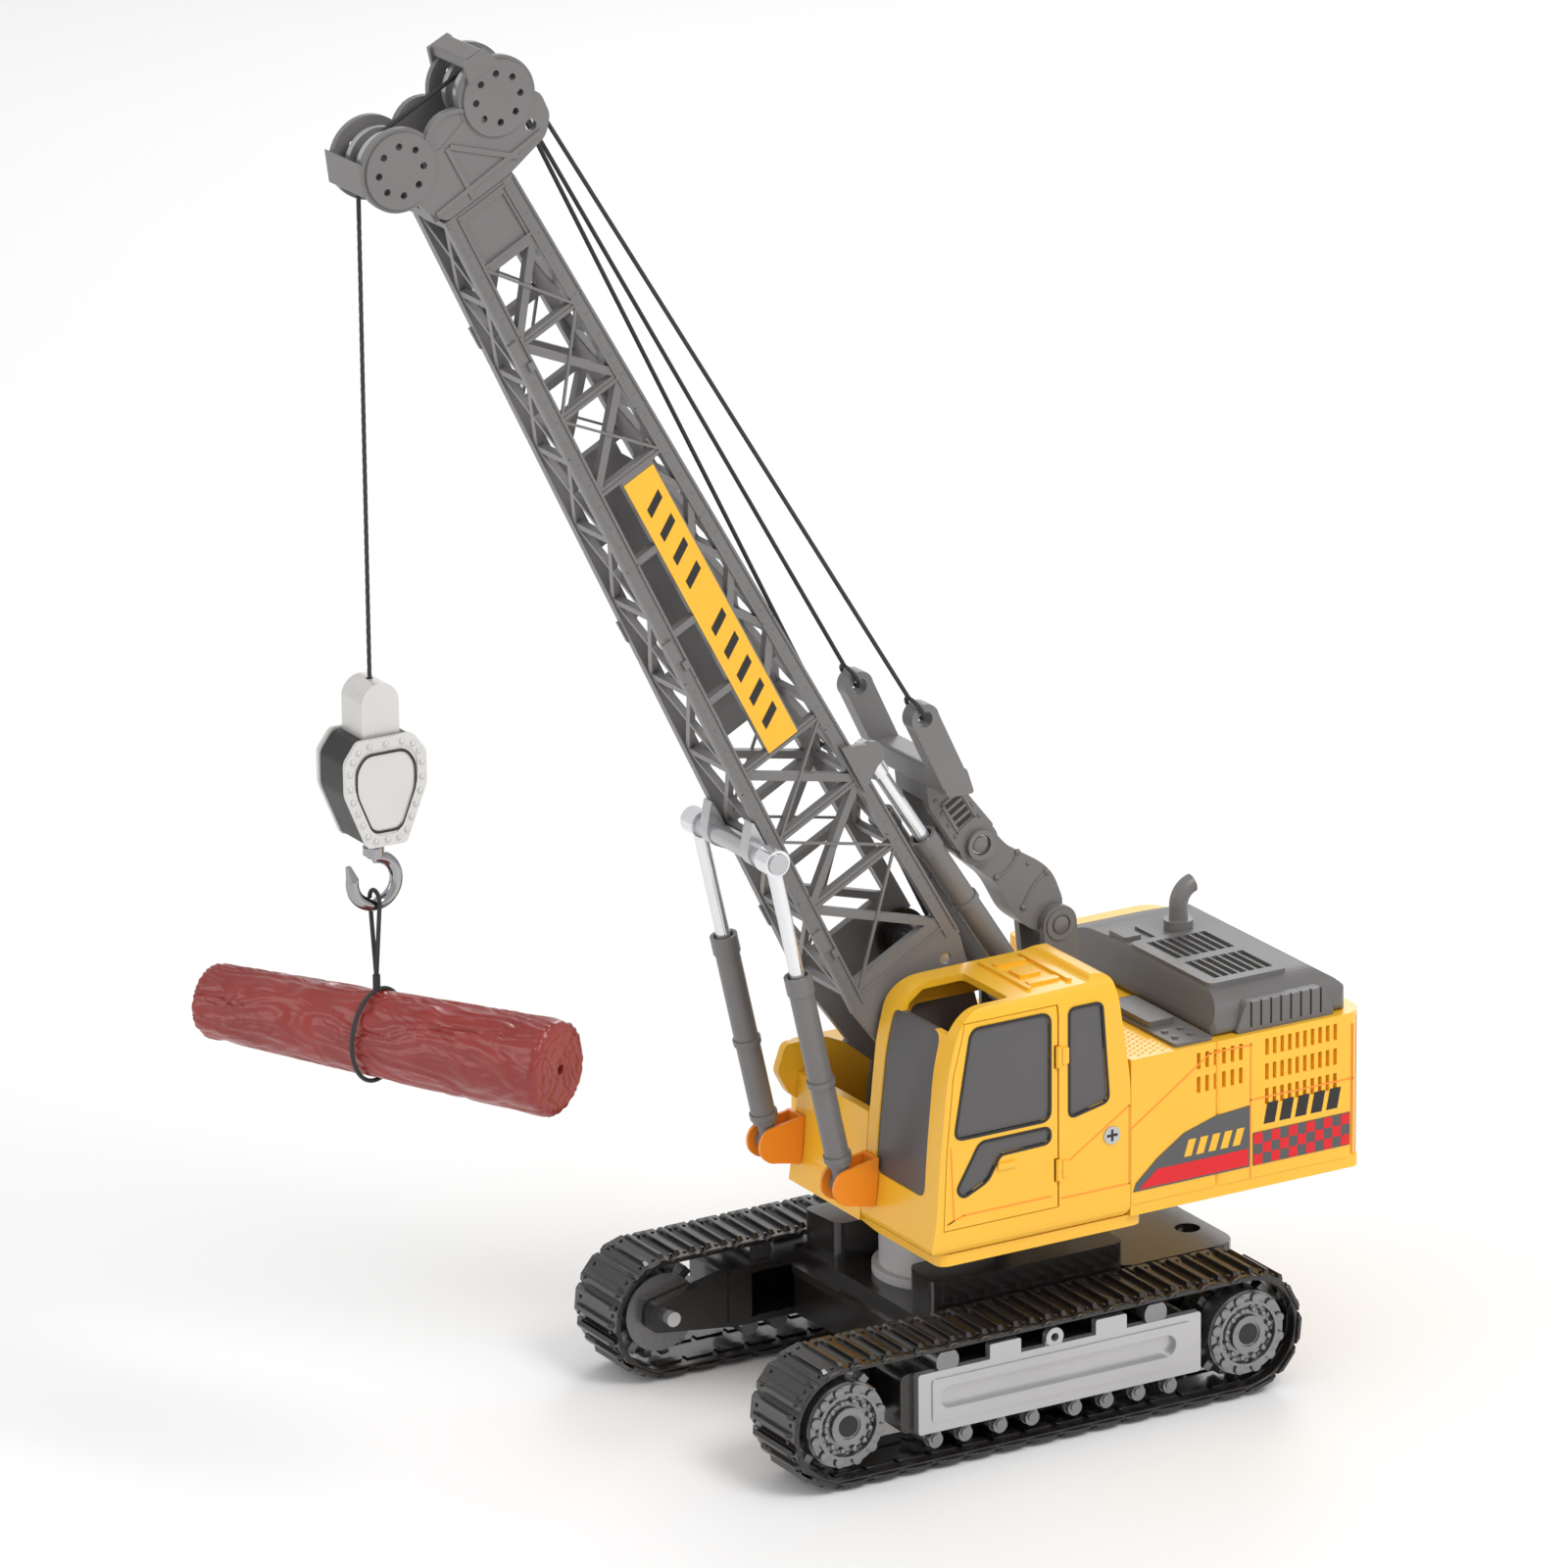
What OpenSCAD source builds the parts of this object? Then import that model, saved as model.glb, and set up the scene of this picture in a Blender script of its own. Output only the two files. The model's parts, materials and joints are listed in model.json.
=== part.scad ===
// Toy crawler crane with a lattice boom, a hook block and a log load.
// Millimetres. +Z up, -Y is the front, +X is the cab side (the crane's left).
// Origin: on the floor under the middle of the slew axis.

/* [Tracks] */
// Distance between the front and rear wheel axles
wheel_base = 150; // [146:1:154]
// Overall height of a track, floor to top grousers
track_h = 43; // [42:0.5:44]
// Outside width over both tracks
gauge_w = 140; // [138:1:142]
// Width of one track belt
belt_w = 28; // [27:0.5:28.5]
// Number of shoes on each belt
shoes = 50; // [40:1:54]

/* [Upper body] */
// Distance from the middle to the cab-side skin
body_x = 63; // [62:0.5:64]
// Underside of the yellow body
body_z0 = 68; // [67:0.5:69]
// Top of the engine deck
deck_z = 121; // [120:0.5:122]
// Rear face of the body
body_y1 = 124; // [122:1:126]

/* [Boom] */
// Height of the boom foot pin
luff_z = 110; // [109:0.5:111]
// Angle of the boom above level at rest
boom_angle = 62; // [60:1:64]
// Distance from the foot pin to the head axles
boom_len = 375.5; // [370:0.5:380]

/* [Hoist] */
// Height of the rope's upper end at the front sheave
fall_top = 434; // [430:1:436]
// Height of the top of the hook block
block_top = 272; // [262:1:290]
// Length of the log
log_len = 130; // [110:1:140]

/* [Hidden] */
$fn = 48;

yellow = "gold";
grey = "dimgray";
dark = "#2a2827";
silver = "silver";

wheel_y = wheel_base / 2;
wheel_z = track_h / 2;
tip_r = track_h / 2;
shoe_r = tip_r - 1.2;
belt_r = shoe_r - 2.6;
out_x = gauge_w / 2;
in_x = out_x - belt_w;
run = 0.06;            // radial clearance of a running fit

luff_y = -3;
tilt = 90 - boom_angle;
function to_boom(p) = [(p[0] - luff_y) * cos(tilt) + (p[1] - luff_z) * sin(tilt),
    (p[1] - luff_z) * cos(tilt) - (p[0] - luff_y) * sin(tilt)];

// front cylinder, rear cylinder and gantry points in the side view, [y, z]
lug = [-48.5, 83];
cross = [-73.6, 195.8];
rear_base = [32.5, 121.5];
rear_end = [-33, 222];
rear_eye = to_boom(rear_end);
gantry_base = [41.5, 149.5];
gantry_knee = [10.6, 182.5];
eye = [-17, 232.5];
front_x = 23;
rear_x = 12.6;
eye_x = 20;
pendant_top = [6.2, -150.5, 457];

// boom outline in its own upright frame: z runs up the boom, y to its back
function front_y(z) = -(21.4 - 0.0267 * z);
function back_y(z) = 25.2 - 0.0293 * z;
function half_w(z) = 17.3 - 0.0188 * z;
head_y = [-16.4, 21.9];
head_r = 13.2;
sheave_r = 8.8;

// ---------------------------------------------------------------- helpers
function unit2(v) = v / norm(v);
// outline with each corner eased over the distance r
function eased(p, r, n = 5) = [for (i = [0:len(p) - 1])
    let (v = p[i], a = p[(i + len(p) - 1) % len(p)], b = p[(i + 1) % len(p)],
         s = min(r, norm(a - v) * 0.48, norm(b - v) * 0.48),
         p1 = v + s * unit2(a - v), p2 = v + s * unit2(b - v))
    for (k = [0:n]) let (t = k / n) (1 - t) * (1 - t) * p1 + 2 * t * (1 - t) * v + t * t * p2];
function rect(x0, y0, x1, y1) = [[x0, y0], [x1, y0], [x1, y1], [x0, y1]];

module slab_x(x0, x1) translate([x0, 0, 0]) rotate([90, 0, 90]) linear_extrude(x1 - x0) children();
module slab_y(y0, y1) translate([0, y1, 0]) rotate([90, 0, 0]) linear_extrude(y1 - y0) children();
module slab_z(z0, z1) translate([0, 0, z0]) linear_extrude(z1 - z0) children();
module box(lo, hi) translate(lo) cube(hi - lo);
module rod_x(p, r, x0, x1) translate([x0, p[0], p[1]]) rotate([0, 90, 0]) cylinder(r = r, h = x1 - x0);
// cylinder in the side plane from point a to point b, at the height x across
module rod_yz(x, a, b, r) {
    d = b - a;
    translate([x, a[0], a[1]]) rotate([-atan2(d[0], d[1]), 0, 0]) cylinder(r = r, h = norm(d));
}
// cylinder between any two points
module rod_3d(a, b, r, fn = 24) {
    d = b - a;
    translate(a) rotate([0, acos(d[2] / norm(d)), atan2(d[1], d[0])]) cylinder(r = r, h = norm(d), $fn = fn);
}
module both_sides() {
    children();
    mirror([1, 0, 0]) children();
}
module right_hand() mirror([1, 0, 0]) children();
module boom_space() translate([0, luff_y, luff_z]) rotate([tilt, 0, 0]) children();

// ---------------------------------------------------------------- undercarriage
module belt_outline(r) {
    translate([-wheel_y, wheel_z]) circle(r = r);
    translate([wheel_y, wheel_z]) circle(r = r);
    translate([-wheel_y, wheel_z - r]) square([wheel_base, 2 * r]);
}

module grouser() translate([shoe_r - 0.3, -1.1]) square([tip_r - shoe_r + 0.3, 2.2]);

module track_belt() {
    straight = 2 * wheel_base;
    lap = straight + 2 * PI * shoe_r;
    color(dark) slab_x(in_x, out_x) difference() {
        union() {
            belt_outline(shoe_r);
            for (i = [0:shoes - 1]) {
                s = i * lap / shoes;
                bend = PI * shoe_r;
                if (s < wheel_base)
                    translate([-wheel_y + s, wheel_z]) rotate(90) grouser();
                else if (s < wheel_base + bend)
                    translate([wheel_y, wheel_z]) rotate(90 - (s - wheel_base) / bend * 180) grouser();
                else if (s < straight + bend)
                    translate([wheel_y - (s - wheel_base - bend), wheel_z]) rotate(-90) grouser();
                else
                    translate([-wheel_y, wheel_z]) rotate(-90 - (s - straight - bend) / bend * 180) grouser();
            }
        }
        belt_outline(belt_r);
    }
}

module wheel(teeth) {
    color(silver) difference() {
        union() {
            rod_x([0, 0], 13.2, 48, 60);
            rod_x([0, 0], 14.2, 60, 67.4);
            difference() {
                rod_x([0, 0], 13.6, 67, 68.4);
                rod_x([0, 0], 11.2, 66, 69);
            }
            rod_x([0, 0], 8.2, 67, 68.2);
            rod_x([0, 0], 5.6, 67, 69);
            for (i = [0:11]) rotate([i * 30, 0, 0]) rod_x([9.8, 0], 0.8, 67, 68.2);
            for (i = [0:teeth - 1]) rotate([i * 360 / teeth, 0, 0])
                box([52, -1.4, 10], [59.4, 1.4, belt_r - 0.9]);
        }
        rod_x([0, 0], 3.4, 67.8, 70);
    }
}

module idler() translate([0, -wheel_y, wheel_z]) difference() {
    wheel(15);
    rod_x([0, 0], 2.5 + run, 40, 67);
}
module sprocket() translate([0, wheel_y, wheel_z]) {
    wheel(15);
    color(silver) rod_x([0, 0], 2.5, 30, 50);
}

module idler_pins() color(silver) both_sides() rod_x([-wheel_y, wheel_z], 2.5, 40, 66.5);

module track_frame() {
    beam = [[-54, 13], [54, 13], [54, 33], [-54, 33]];
    color(dark) difference() {
        union() {
            slab_x(43, 66) polygon(eased(beam, 3));
            slab_x(43, 47) polygon(eased([[-82, 17], [-50, 13], [-50, 33], [-82, 26]], 3));
            slab_x(43, 47) polygon(eased([[82, 17], [50, 13], [50, 33], [82, 26]], 3));
            for (y = [-52, -43, -34]) box([42.2, y - 1, 15], [43.2, y + 1, 32]);
        }
        box([41, -44, 15.5], [62.5, 44, 30.5]);
        rod_x([-wheel_y, wheel_z], 2.5, 40, 48);
        rod_x([wheel_y, wheel_z], 2.5 + run, 40, 48);
    }
}

module side_covers() color(silver) both_sides() {
    difference() {
        union() {
            slab_x(66, 68.8) polygon(eased(rect(-49, 12.5, 57, 33), 1.2));
            slab_x(68, 69.4) polygon(eased([[-44, 16], [53, 16], [53, 30.5], [-44, 30.5]], 1.5));
            for (y = [-16.6, 23.1]) slab_x(66, 68.8) polygon(eased(rect(y - 5.8, 32, y + 5.8, 38), 0.8));
            rod_x([2, 35.4], 3.2, 66, 68.6);
            box([66, -1.2, 32], [68, 5.2, 35]);
        }
        slab_x(67.2, 72) union() {
            polygon(rect(-37.5, 20, 43.5, 27.6));
            translate([-37.5, 23.8]) circle(r = 3.8);
            translate([43.5, 23.8]) circle(r = 3.8);
        }
        rod_x([2, 35.4], 1.4, 65, 70);
    }
}

module track_rollers() color(silver) both_sides() {
    for (y = [-42, -31, -18, -6, 10, 22, 34, 46]) {
        rod_x([y, 9.8], 3.2, 48, 65.8);
        rod_x([y, 9.8], 1.6, 65, 68.4);
        rod_x([y, 9.3], 2.6, 66, 67.8);
    }
    for (y = [-38, 40]) intersection() {
        rod_x([y, 35.6], 4.2, 47.5, 68.6);
        box([40, y - 8, 33], [72, y + 8, wheel_z + belt_r - 0.3]);
    }
}

module chassis_frame() color(dark) difference() {
    union() {
        box([-43, -28, 14], [43, 46, 37]);
        both_sides() slab_z(30, 50) polygon(eased([[21.5, -24], [41, -26], [41, 46], [21.5, 46]], 4));
        slab_z(36, 40) polygon(eased([[-38, 45], [38, 45], [38, 92], [-38, 92]], 9));
        for (x = [-24, 24]) box([x - 5, 46, 14], [x + 5, 60, 36.5]);
        both_sides() box([12, 66, 28], [29.6, 84, 36.5]);
        slab_z(31, 34) polygon(eased([[-40, -26], [40, -26], [36, -34], [-36, -34]], 3));
    }
    box([-34, -23, 10], [34, 41, 32]);
    translate([0, 0, 25]) cylinder(r = 6.5, h = 30);
    translate([19, 84, 20]) cylinder(r = 4.2, h = 30);
    both_sides() rod_x([wheel_y, wheel_z], 9, 10, 40);
    both_sides() box([44, -60, 0], [80, 60, 60]);
}

module slew_column() color("darkgray") difference() {
    union() {
        translate([0, 0, 37]) cylinder(r = 18.7, h = 21.5);
        translate([0, 0, 37]) cylinder(r = 21, h = 3);
    }
    translate([0, 0, 30]) cylinder(r = 7 + run, h = 40);
}

module battery_pack() color("steelblue") {
    for (x = [-20, 0, 20]) translate([x, -21, 21.2]) rotate([-90, 0, 0]) cylinder(r = 9.2, h = 60);
}
module battery_door() color(dark) difference() {
    box([-33.8, -22.8, 9.4], [33.8, 40.8, 12]);
    for (x = [-30, 30]) translate([x, 9, 8]) cylinder(r = 1.6, h = 8);
}
module drive_motors() color(silver) both_sides()
    rod_x([wheel_y, wheel_z], 9, 12, 29.6);

// ---------------------------------------------------------------- upper body
module turntable() color(dark) difference() {
    union() {
        translate([0, 0, 58.9]) cylinder(r = 24, h = 5.1);
        translate([0, 0, 39]) cylinder(r = 7, h = 20);
    }
    translate([0, 0, 30]) cylinder(r = 3, h = 40);
}

lug_inner = 18.5;
lug_outer = 27.5;

module body_deck() color(yellow) difference() {
    union() {
        slab_z(body_z0, body_z0 + 4) polygon(eased([[-28, -38], [62.6, -38], [62.6, 122], [-62.6, 122],
            [-62.6, -18], [-28, -18]], 3));
        slab_z(64, 68.2) polygon(eased([[22, -36], [61, -36], [61, 40], [40, 40], [-60, 60], [-60, -16],
            [-22, -16], [-22, -30]], 4));
        // sloping front wall between the cab and the far cheek
        slab_x(-24.7, cab_x0 - 0.3) polygon([[-40.6, 68], [-39.5, 75], [-38.7, 78], [-37.7, 91], [-36.8, 104],
            [-33.8, 104], [-36, 68]]);
    }
    translate([0, 0, 60]) cylinder(r = 20, h = 20);
    box([cab_x0, -50, 68], [70, 34.2, 80]);
}

module cylinder_lugs() color("orange") for (s = [-1, 1]) {
    x_mid = s * front_x;
    for (dx = [-4.5, 3.3]) slab_x(x_mid + dx, x_mid + dx + 1.2) union() {
        translate(lug) circle(r = 6.2);
        polygon([lug + [0, -6.2], [-39.8, 75], [-39, 78], [-38, 91], lug + [0, 6.2]]);
    }
    slab_x(x_mid - 4.5, x_mid + 4.5) polygon([[-41.2, 75], [-39.8, 75], [-39, 78], [-38, 91], [-39.4, 91]]);
    rod_x(lug, 2, x_mid - 3.5, x_mid + 3.5);
}

module body_shell() color(yellow) difference() {
    union() {
        // rear body, full width
        slab_z(72, deck_z) polygon(eased([[-62.6, 66], [body_x, 66], [body_x, 119], [58, body_y1],
            [-58, body_y1], [-62.6, 119]], 3));
        // cab-side wall between the cab and the rear body
        box([cab_x0, 34.2, 72], [body_x, 66.2, deck_z]);
        // far-side tank
        slab_z(72, 100) polygon(eased([[-62.6, -18], [-25, -18], [-25, 67], [-62.6, 67]], 3));
        // cheek beside the boom bay
        slab_x(-28, -24.8) polygon(eased([[-33.4, 72], [-33.4, 92], [-40, 97], [-44.3, 105], [-41, 114], [-26, 114],
            [4, 100], [4, 72]], 2));
        slab_z(deck_z - 2, deck_z) polygon([[-30, 60], [20, 60], [20, 70], [-30, 70]]);
    }
    // hollow
    box([-60.4, 68, 71], [body_x - 2.2, body_y1 - 2.2, deck_z - 2]);
    box([21.7, 30, 71], [body_x - 2.2, 70, deck_z - 2]);
    box([-60.4, -15.8, 71], [-29, 70, 98]);
    box([-22, 40, 71], [24, 70, 118]);
    // bay for the boom foot
    box([-24.8, -33, 71], [cab_x0, 60, 140]);
    // vents
    for (i = [0:5], j = [0:1]) box([61, 59 + i * 3.2, 105 + j * 8], [66, 60.4 + i * 3.2, 110.5 + j * 8]);
    for (i = [0:9], j = [0:2]) box([61, 85 + i * 2.9, 96 + j * 8.4], [66, 86.4 + i * 2.9, 101.6 + j * 8.4]);
    // recess for the dark rear insert
    box([-57, body_y1 - 1.4, 78], [57, body_y1 + 2, 98.5]);
}

module rear_insert() color(grey) difference() {
    box([-57, body_y1 - 1.4, 78], [57, body_y1, 98.5]);
    for (x = [-44:11:44]) box([x - 0.5, body_y1 - 0.5, 79.5], [x + 0.5, body_y1 + 1, 97]);
}

module counterweight() color("gray") box([-30, 96, 72], [30, 120, 96]);

hood_side = [[-57, deck_z], [-50, 124], [-22, 134], [0, 135], [50, 135], [57.5, 131], [60.5, deck_z]];
module hood() color(grey) difference() {
    union() {
        intersection() {
            slab_y(66, 122.5) polygon(eased(hood_side, 4));
            slab_x(-60, 62) polygon(eased([[66, deck_z], [71, 134], [73, 136], [108, 136], [118, 130],
                [122.5, deck_z]], 4));
            slab_z(deck_z, 140) polygon(eased([[-58, 66], [61, 66], [61, 116], [52, 122.5], [-20, 122.5],
                [-58, 108]], 8));
        }
        // side vent with ribs
        difference() {
            slab_x(50, 61) polygon(eased([[75, deck_z], [79, 131], [109, 131], [113, deck_z]], 2));
            for (i = [0:7]) box([60, 80.5 + i * 3.8, 122.5], [63, 81.3 + i * 3.8, 131]);
        }
        // front flange with a raised hatch and studs
        slab_z(deck_z, deck_z + 1.2) polygon(eased(rect(14, 52, 61, 66.5), 1.5));
        slab_z(deck_z, deck_z + 3.4) polygon(eased(rect(20, 53, 44, 63), 1.5));
        for (i = [0:1], j = [0:1]) translate([49.5 + 6 * i, 55.5 + 6 * j, deck_z]) cylinder(r = 1.1, h = 1.9);
        // latch box and rib on the far half
        slab_z(133, 136.4) polygon(eased(rect(-10, 72, 0, 78.5), 1));
        slab_z(133, 135.8) polygon(eased(rect(-10, 82, 3, 84), 0.5));
    }
    // recess for the louvre panel
    slab_z(133.8, 140) polygon(eased(panel_outline, 3));
    translate([-2.3, 94, 130]) cylinder(r = 4, h = 10);
    slab_y(75, 114) polygon([[-50, 120], [-20, 131], [0, 132], [48, 132], [57, 120]]);
}

panel_outline = rect(3, 71.5, 51, 101.5);
module louvre_panel() color(grey) difference() {
    slab_z(133.8, 135.9) polygon(eased(panel_outline, 3));
    for (x0 = [6.4, 28.8]) for (i = [0:6])
        box([x0, 76 + i * 3.3, 134.7], [x0 + 18, 78.6 + i * 3.3, 137]);
}

module exhaust_pipe() color("gray") translate([-2.3, 94, 0]) {
    translate([0, 0, 132]) cylinder(r = 4, h = 3);
    translate([0, 0, 135]) cylinder(r = 4.8, h = 3.4);
    translate([0, 0, 138]) cylinder(r = 3.1, h = 5);
    // bend towards the rear
    translate([0, 7, 143]) rotate([90, 0, -90]) rotate_extrude(angle = 75) translate([7, 0]) circle(r = 3.1);
}

cab_x0 = 19.5;
cab_side = [[-41, 68], [-38.6, 78], [-36.8, 102], [-34, 128], [-30.5, 142], [-24, 148.2], [20, 149],
    [22, 150.8], [28.5, 150.2], [34, 114], [34, 68]];
cab_in = [[-37.5, 71], [-36.2, 80], [-34.6, 102], [-31.8, 128], [-28, 142], [-23, 145.8], [20, 146.6],
    [27, 147], [31.8, 114], [31.8, 71]];
cab_front = rect(cab_x0, 68, body_x, 152);
screen = [[25, 86], [55, 86], [54, 140], [25.5, 140]];
door_glass = [[-31.2, 107.2], [3.4, 107.2], [3.4, 142.2], [-25, 142.2]];
rear_glass = [[11.4, 106.5], [25.3, 109.4], [22.8, 142.2], [11.4, 142.2]];
low_glass = [[-30.4, 89.8], [-28.5, 87.4], [-19.7, 91.3], [-15, 99.2], [3.4, 99.6], [3.4, 104], [-22, 104]];

module cab_outer() intersection() {
    slab_x(cab_x0, body_x) polygon(eased(cab_side, 5));
    slab_y(-45, 40) polygon(eased(concat([[cab_x0, 68], [body_x, 68]],
        [[body_x, 144], [body_x - 4, 151], [cab_x0 + 4, 151], [cab_x0, 144]]), 4));
}

module cab_walls() difference() {
    cab_outer();
    slab_x(cab_x0 + 2, body_x - 2) polygon(cab_in);
    // skylight and the window towards the boom
    slab_z(140, 160) polygon(eased([[30, -31.5], [57.5, -31.5], [57.5, -8], [30, -8]], 2));
    slab_x(10, 30) polygon(eased([[-28, 104], [22, 104], [20, 138], [-22, 138]], 3));
    slab_y(-50, -20) polygon(eased(screen, 4));
    slab_x(50, 70) {
        polygon(eased(door_glass, 3));
        polygon(eased(rear_glass, 2));
        polygon(eased(low_glass, 2));
    }
    rod_x([26.8, 97.2], 1.6, 55, 70);
}

door_gap = 0.3;
hinge_y = 6.9;
hinge_x = 63.2;
door_out = [[-35.6, 77], [6.6, 77], [6.6, 144.4], [-27.4, 144.4], [-31.8, 128], [-34.4, 102]];
door_hole = [[-35.9, 76.7], [7.2, 76.7], [7.2, 144.7], [-27.6, 144.7], [-32.1, 128], [-34.7, 102]];
module hinge_zones(r) for (z = [86, 124]) translate([hinge_x, hinge_y, z]) cylinder(r = r, h = 7);

module cab_shell() color(yellow) difference() {
    union() {
        difference() {
            cab_walls();
            slab_x(body_x - 2.05, body_x + 2) polygon(door_hole);
        }
        hinge_zones(1.1);
    }
    box([hinge_x - 3, 4, 85.5], [hinge_x - 0.2, 7.2, 93.5]);
    box([hinge_x - 3, 4, 123.5], [hinge_x - 0.2, 7.2, 131.5]);
}

module cab_door() color(yellow) difference() {
    intersection() {
        cab_walls();
        slab_x(body_x - 2, body_x + 1) polygon(door_out);
    }
    for (z = [85.6, 123.6]) box([50, hinge_y - 1.6, z], [70, 10, z + 7.8]);
}

module windscreen() intersection() {
    slab_y(-50, -20) polygon(eased(screen, 4));
    slab_x(20, 62) difference() {
        translate([0.5, 0]) polygon(eased(cab_side, 5));
        translate([2, 0]) polygon(eased(cab_side, 5));
        translate([-20, 0]) square([60, 300]);
    }
}

module cab_windows() color(grey) {
    windscreen();
    slab_x(body_x - 1.9, body_x - 0.4) polygon(eased(rear_glass, 2));
}
module door_windows() color(grey) slab_x(body_x - 1.9, body_x - 0.4) {
    polygon(eased(door_glass, 3));
    polygon(eased(low_glass, 2));
}

module body_screws() color(silver) {
    rod_x([26.8, 97.2], 1.6, body_x - 2, body_x + 0.2);
    rod_x([26.8, 97.2], 3, body_x, body_x + 0.5);
}

module side_decal() color("firebrick") slab_x(body_x, body_x + 0.3) union() {
    polygon([[35, 76.2], [79, 76.2], [79, 97], [66, 96], [54, 92.5], [44, 86], [36, 79]]);
    polygon([[80.4, 76.2], [117.5, 76.2], [117.5, 87.3], [80.4, 87.3]]);
}

module control_board() color("seagreen") box([-50, 10, 74], [-34, 60, 75.6]);
module slew_motor() color(silver) {
    translate([0, 34, 80]) rotate([-90, 0, 0]) cylinder(r = 8, h = 20);
    box([-9, 23, 72], [9, 34.2, 88]);
}

// ---------------------------------------------------------------- gantry behind the boom
module boom_cheeks() for (s = [-1, 1]) difference() {
    slab_x(s * 18.4 - 0.9, s * 18.4 + 0.9) union() {
        translate([luff_y, luff_z]) circle(r = 9.5);
        polygon([[luff_y - 9.5, luff_z], [luff_y + 9.5, luff_z], [luff_y + 14, 72], [luff_y - 14, 72]]);
    }
    rod_x([luff_y, luff_z], 3.5, -30, 30);
}

module boom_brackets() color(grey) {
    boom_cheeks();
    for (s = [-1, 1]) difference() {
        union() {
            slab_x(s * 7.7 - 1.5, s * 7.7 + 1.5) union() {
                translate(gantry_base) circle(r = 6.3);
                polygon([[gantry_base[0] - 6.3, gantry_base[1]], [gantry_base[0] + 6.3, gantry_base[1]],
                    [gantry_base[0] + 10, 116], [gantry_base[0] - 4, 116], [gantry_base[0] - 4, 128]]);
            }
            // cheeks for the rear cylinders
            slab_x(s * 17.8 - 0.8, s * 17.8 + 0.8) union() {
                translate(rear_base) circle(r = 4.6);
                polygon([[rear_base[0] - 4.6, rear_base[1]], [rear_base[0] + 4.6, rear_base[1]],
                    [rear_base[0] + 8, 116], [rear_base[0] - 4.6, 116]]);
            }
        }
        rod_x(gantry_base, 3, -20, 20);
    }
    rod_x(rear_base, 2, -17.5, 17.5);
    rod_x(gantry_base, 3, -9.2, 9.2);
    box([-18.4, 28, 113.5], [cab_x0, 59.8, 117]);
    box([-18.4, 55, 72], [cab_x0, 59.8, 114]);
}

module gantry_lower() color(grey) difference() {
    slab_x(-5.8, 5.8) union() {
        translate(gantry_base) circle(r = 6);
        translate(gantry_knee) circle(r = 6.5);
        polygon(eased([gantry_knee + [-6, -3], gantry_knee + [4, 6.3], [24, 178], [36, 171], [41, 166],
            gantry_base + [4, 5], gantry_base + [-6, -3], [27, 153], [20, 166]], 4));
    }
    rod_x(gantry_base, 3 + run, -7, 7);
    rod_x(gantry_knee, 3, -7, 7);
}

module gantry_upper() color(grey) {
    for (s = [-1, 1]) difference() {
        slab_x(s * 8 - 1.8, s * 8 + 1.8) union() {
            translate(gantry_knee) circle(r = 7.2);
            polygon(eased([gantry_knee + [-7, -2], gantry_knee + [6, 5], [9, 197], [2, 206], [-8, 207],
                [-8, 198]], 2));
        }
        rod_x(gantry_knee, 3 + run, -20, 20);
    }
    slab_x(-9.8, 9.8) polygon(eased([[-8, 199], [3, 199], [1, 208], [-9, 208]], 1.5));
    slab_x(-23, 23) polygon(eased([[-9, 205], [1, 205], [-2, 214], [-12, 214]], 1.5));
    for (s = [-1, 1]) difference() {
        slab_x(s * eye_x - 3, s * eye_x + 3) union() {
            translate(eye) circle(r = 5);
            polygon([eye + [-4.9, -1], eye + [4.9, 1], [0, 208], [-10.5, 208]]);
        }
        rod_x(eye, 2.6, -40, 40);
    }
}

module gantry_knee_pin() color(silver) rod_x(gantry_knee, 3, -10.6, 10.6);

// ---------------------------------------------------------------- boom
module bar(p, q, w) {
    d = q - p;
    translate(p) rotate(atan2(d[1], d[0])) translate([0, -w / 2]) square([norm(d), w]);
}

steps = [332, 303, 274, 245];
low_steps = [135, 108, 81, 46];
chord_w = 5;

module side_profile() {
    top = 351.6;
    difference() {
        union() {
            polygon([[front_y(40), 40], [front_y(top), top], [back_y(top), top], [back_y(40), 40]]);
            polygon(eased([[front_y(41), 41], [back_y(41), 41], [16, 8], [-15, 8]], 3));
            circle(r = 11);
            polygon([[-11, 0], [11, 0], [18, 14], [-17, 14]]);
        }
        polygon([[front_y(46) + chord_w, 50], [back_y(46) - chord_w, 50],
            [back_y(332) - chord_w, 330], [front_y(332) + chord_w, 330]]);
        circle(r = 3);
    }
    for (z = concat(steps, low_steps)) bar([front_y(z) + 2, z], [back_y(z) - 2, z], 2.6);
    for (i = [0:2]) {
        a = steps[i];
        b = steps[i + 1];
        if (i % 2 == 0) bar([back_y(a) - 3, a], [front_y(b) + 3, b], 2.6);
        else bar([front_y(a) + 3, a], [back_y(b) - 3, b], 2.6);
    }
    for (i = [0:2]) {
        a = low_steps[i];
        b = low_steps[i + 1];
        if (i % 2 == 0) bar([front_y(a) + 3, a], [back_y(b) - 3, b], 2.6);
        else bar([back_y(a) - 3, a], [front_y(b) + 3, b], 2.6);
    }
    // label carrier and its webs
    polygon([[-3.2, 134], [9.2, 134], [9.8, 246], [-2.6, 246]]);
    for (z = [163, 190, 218]) {
        bar([front_y(z) + 2, z], [0, z], 2.4);
        bar([8, z - 6], [back_y(z) - 3, z + 8], 2.4);
        bar([8, z + 22], [back_y(z) - 3, z + 8], 2.4);
    }
    bar([front_y(340) + 3, 340], [back_y(340) - 3, 340], 23);
}

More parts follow.
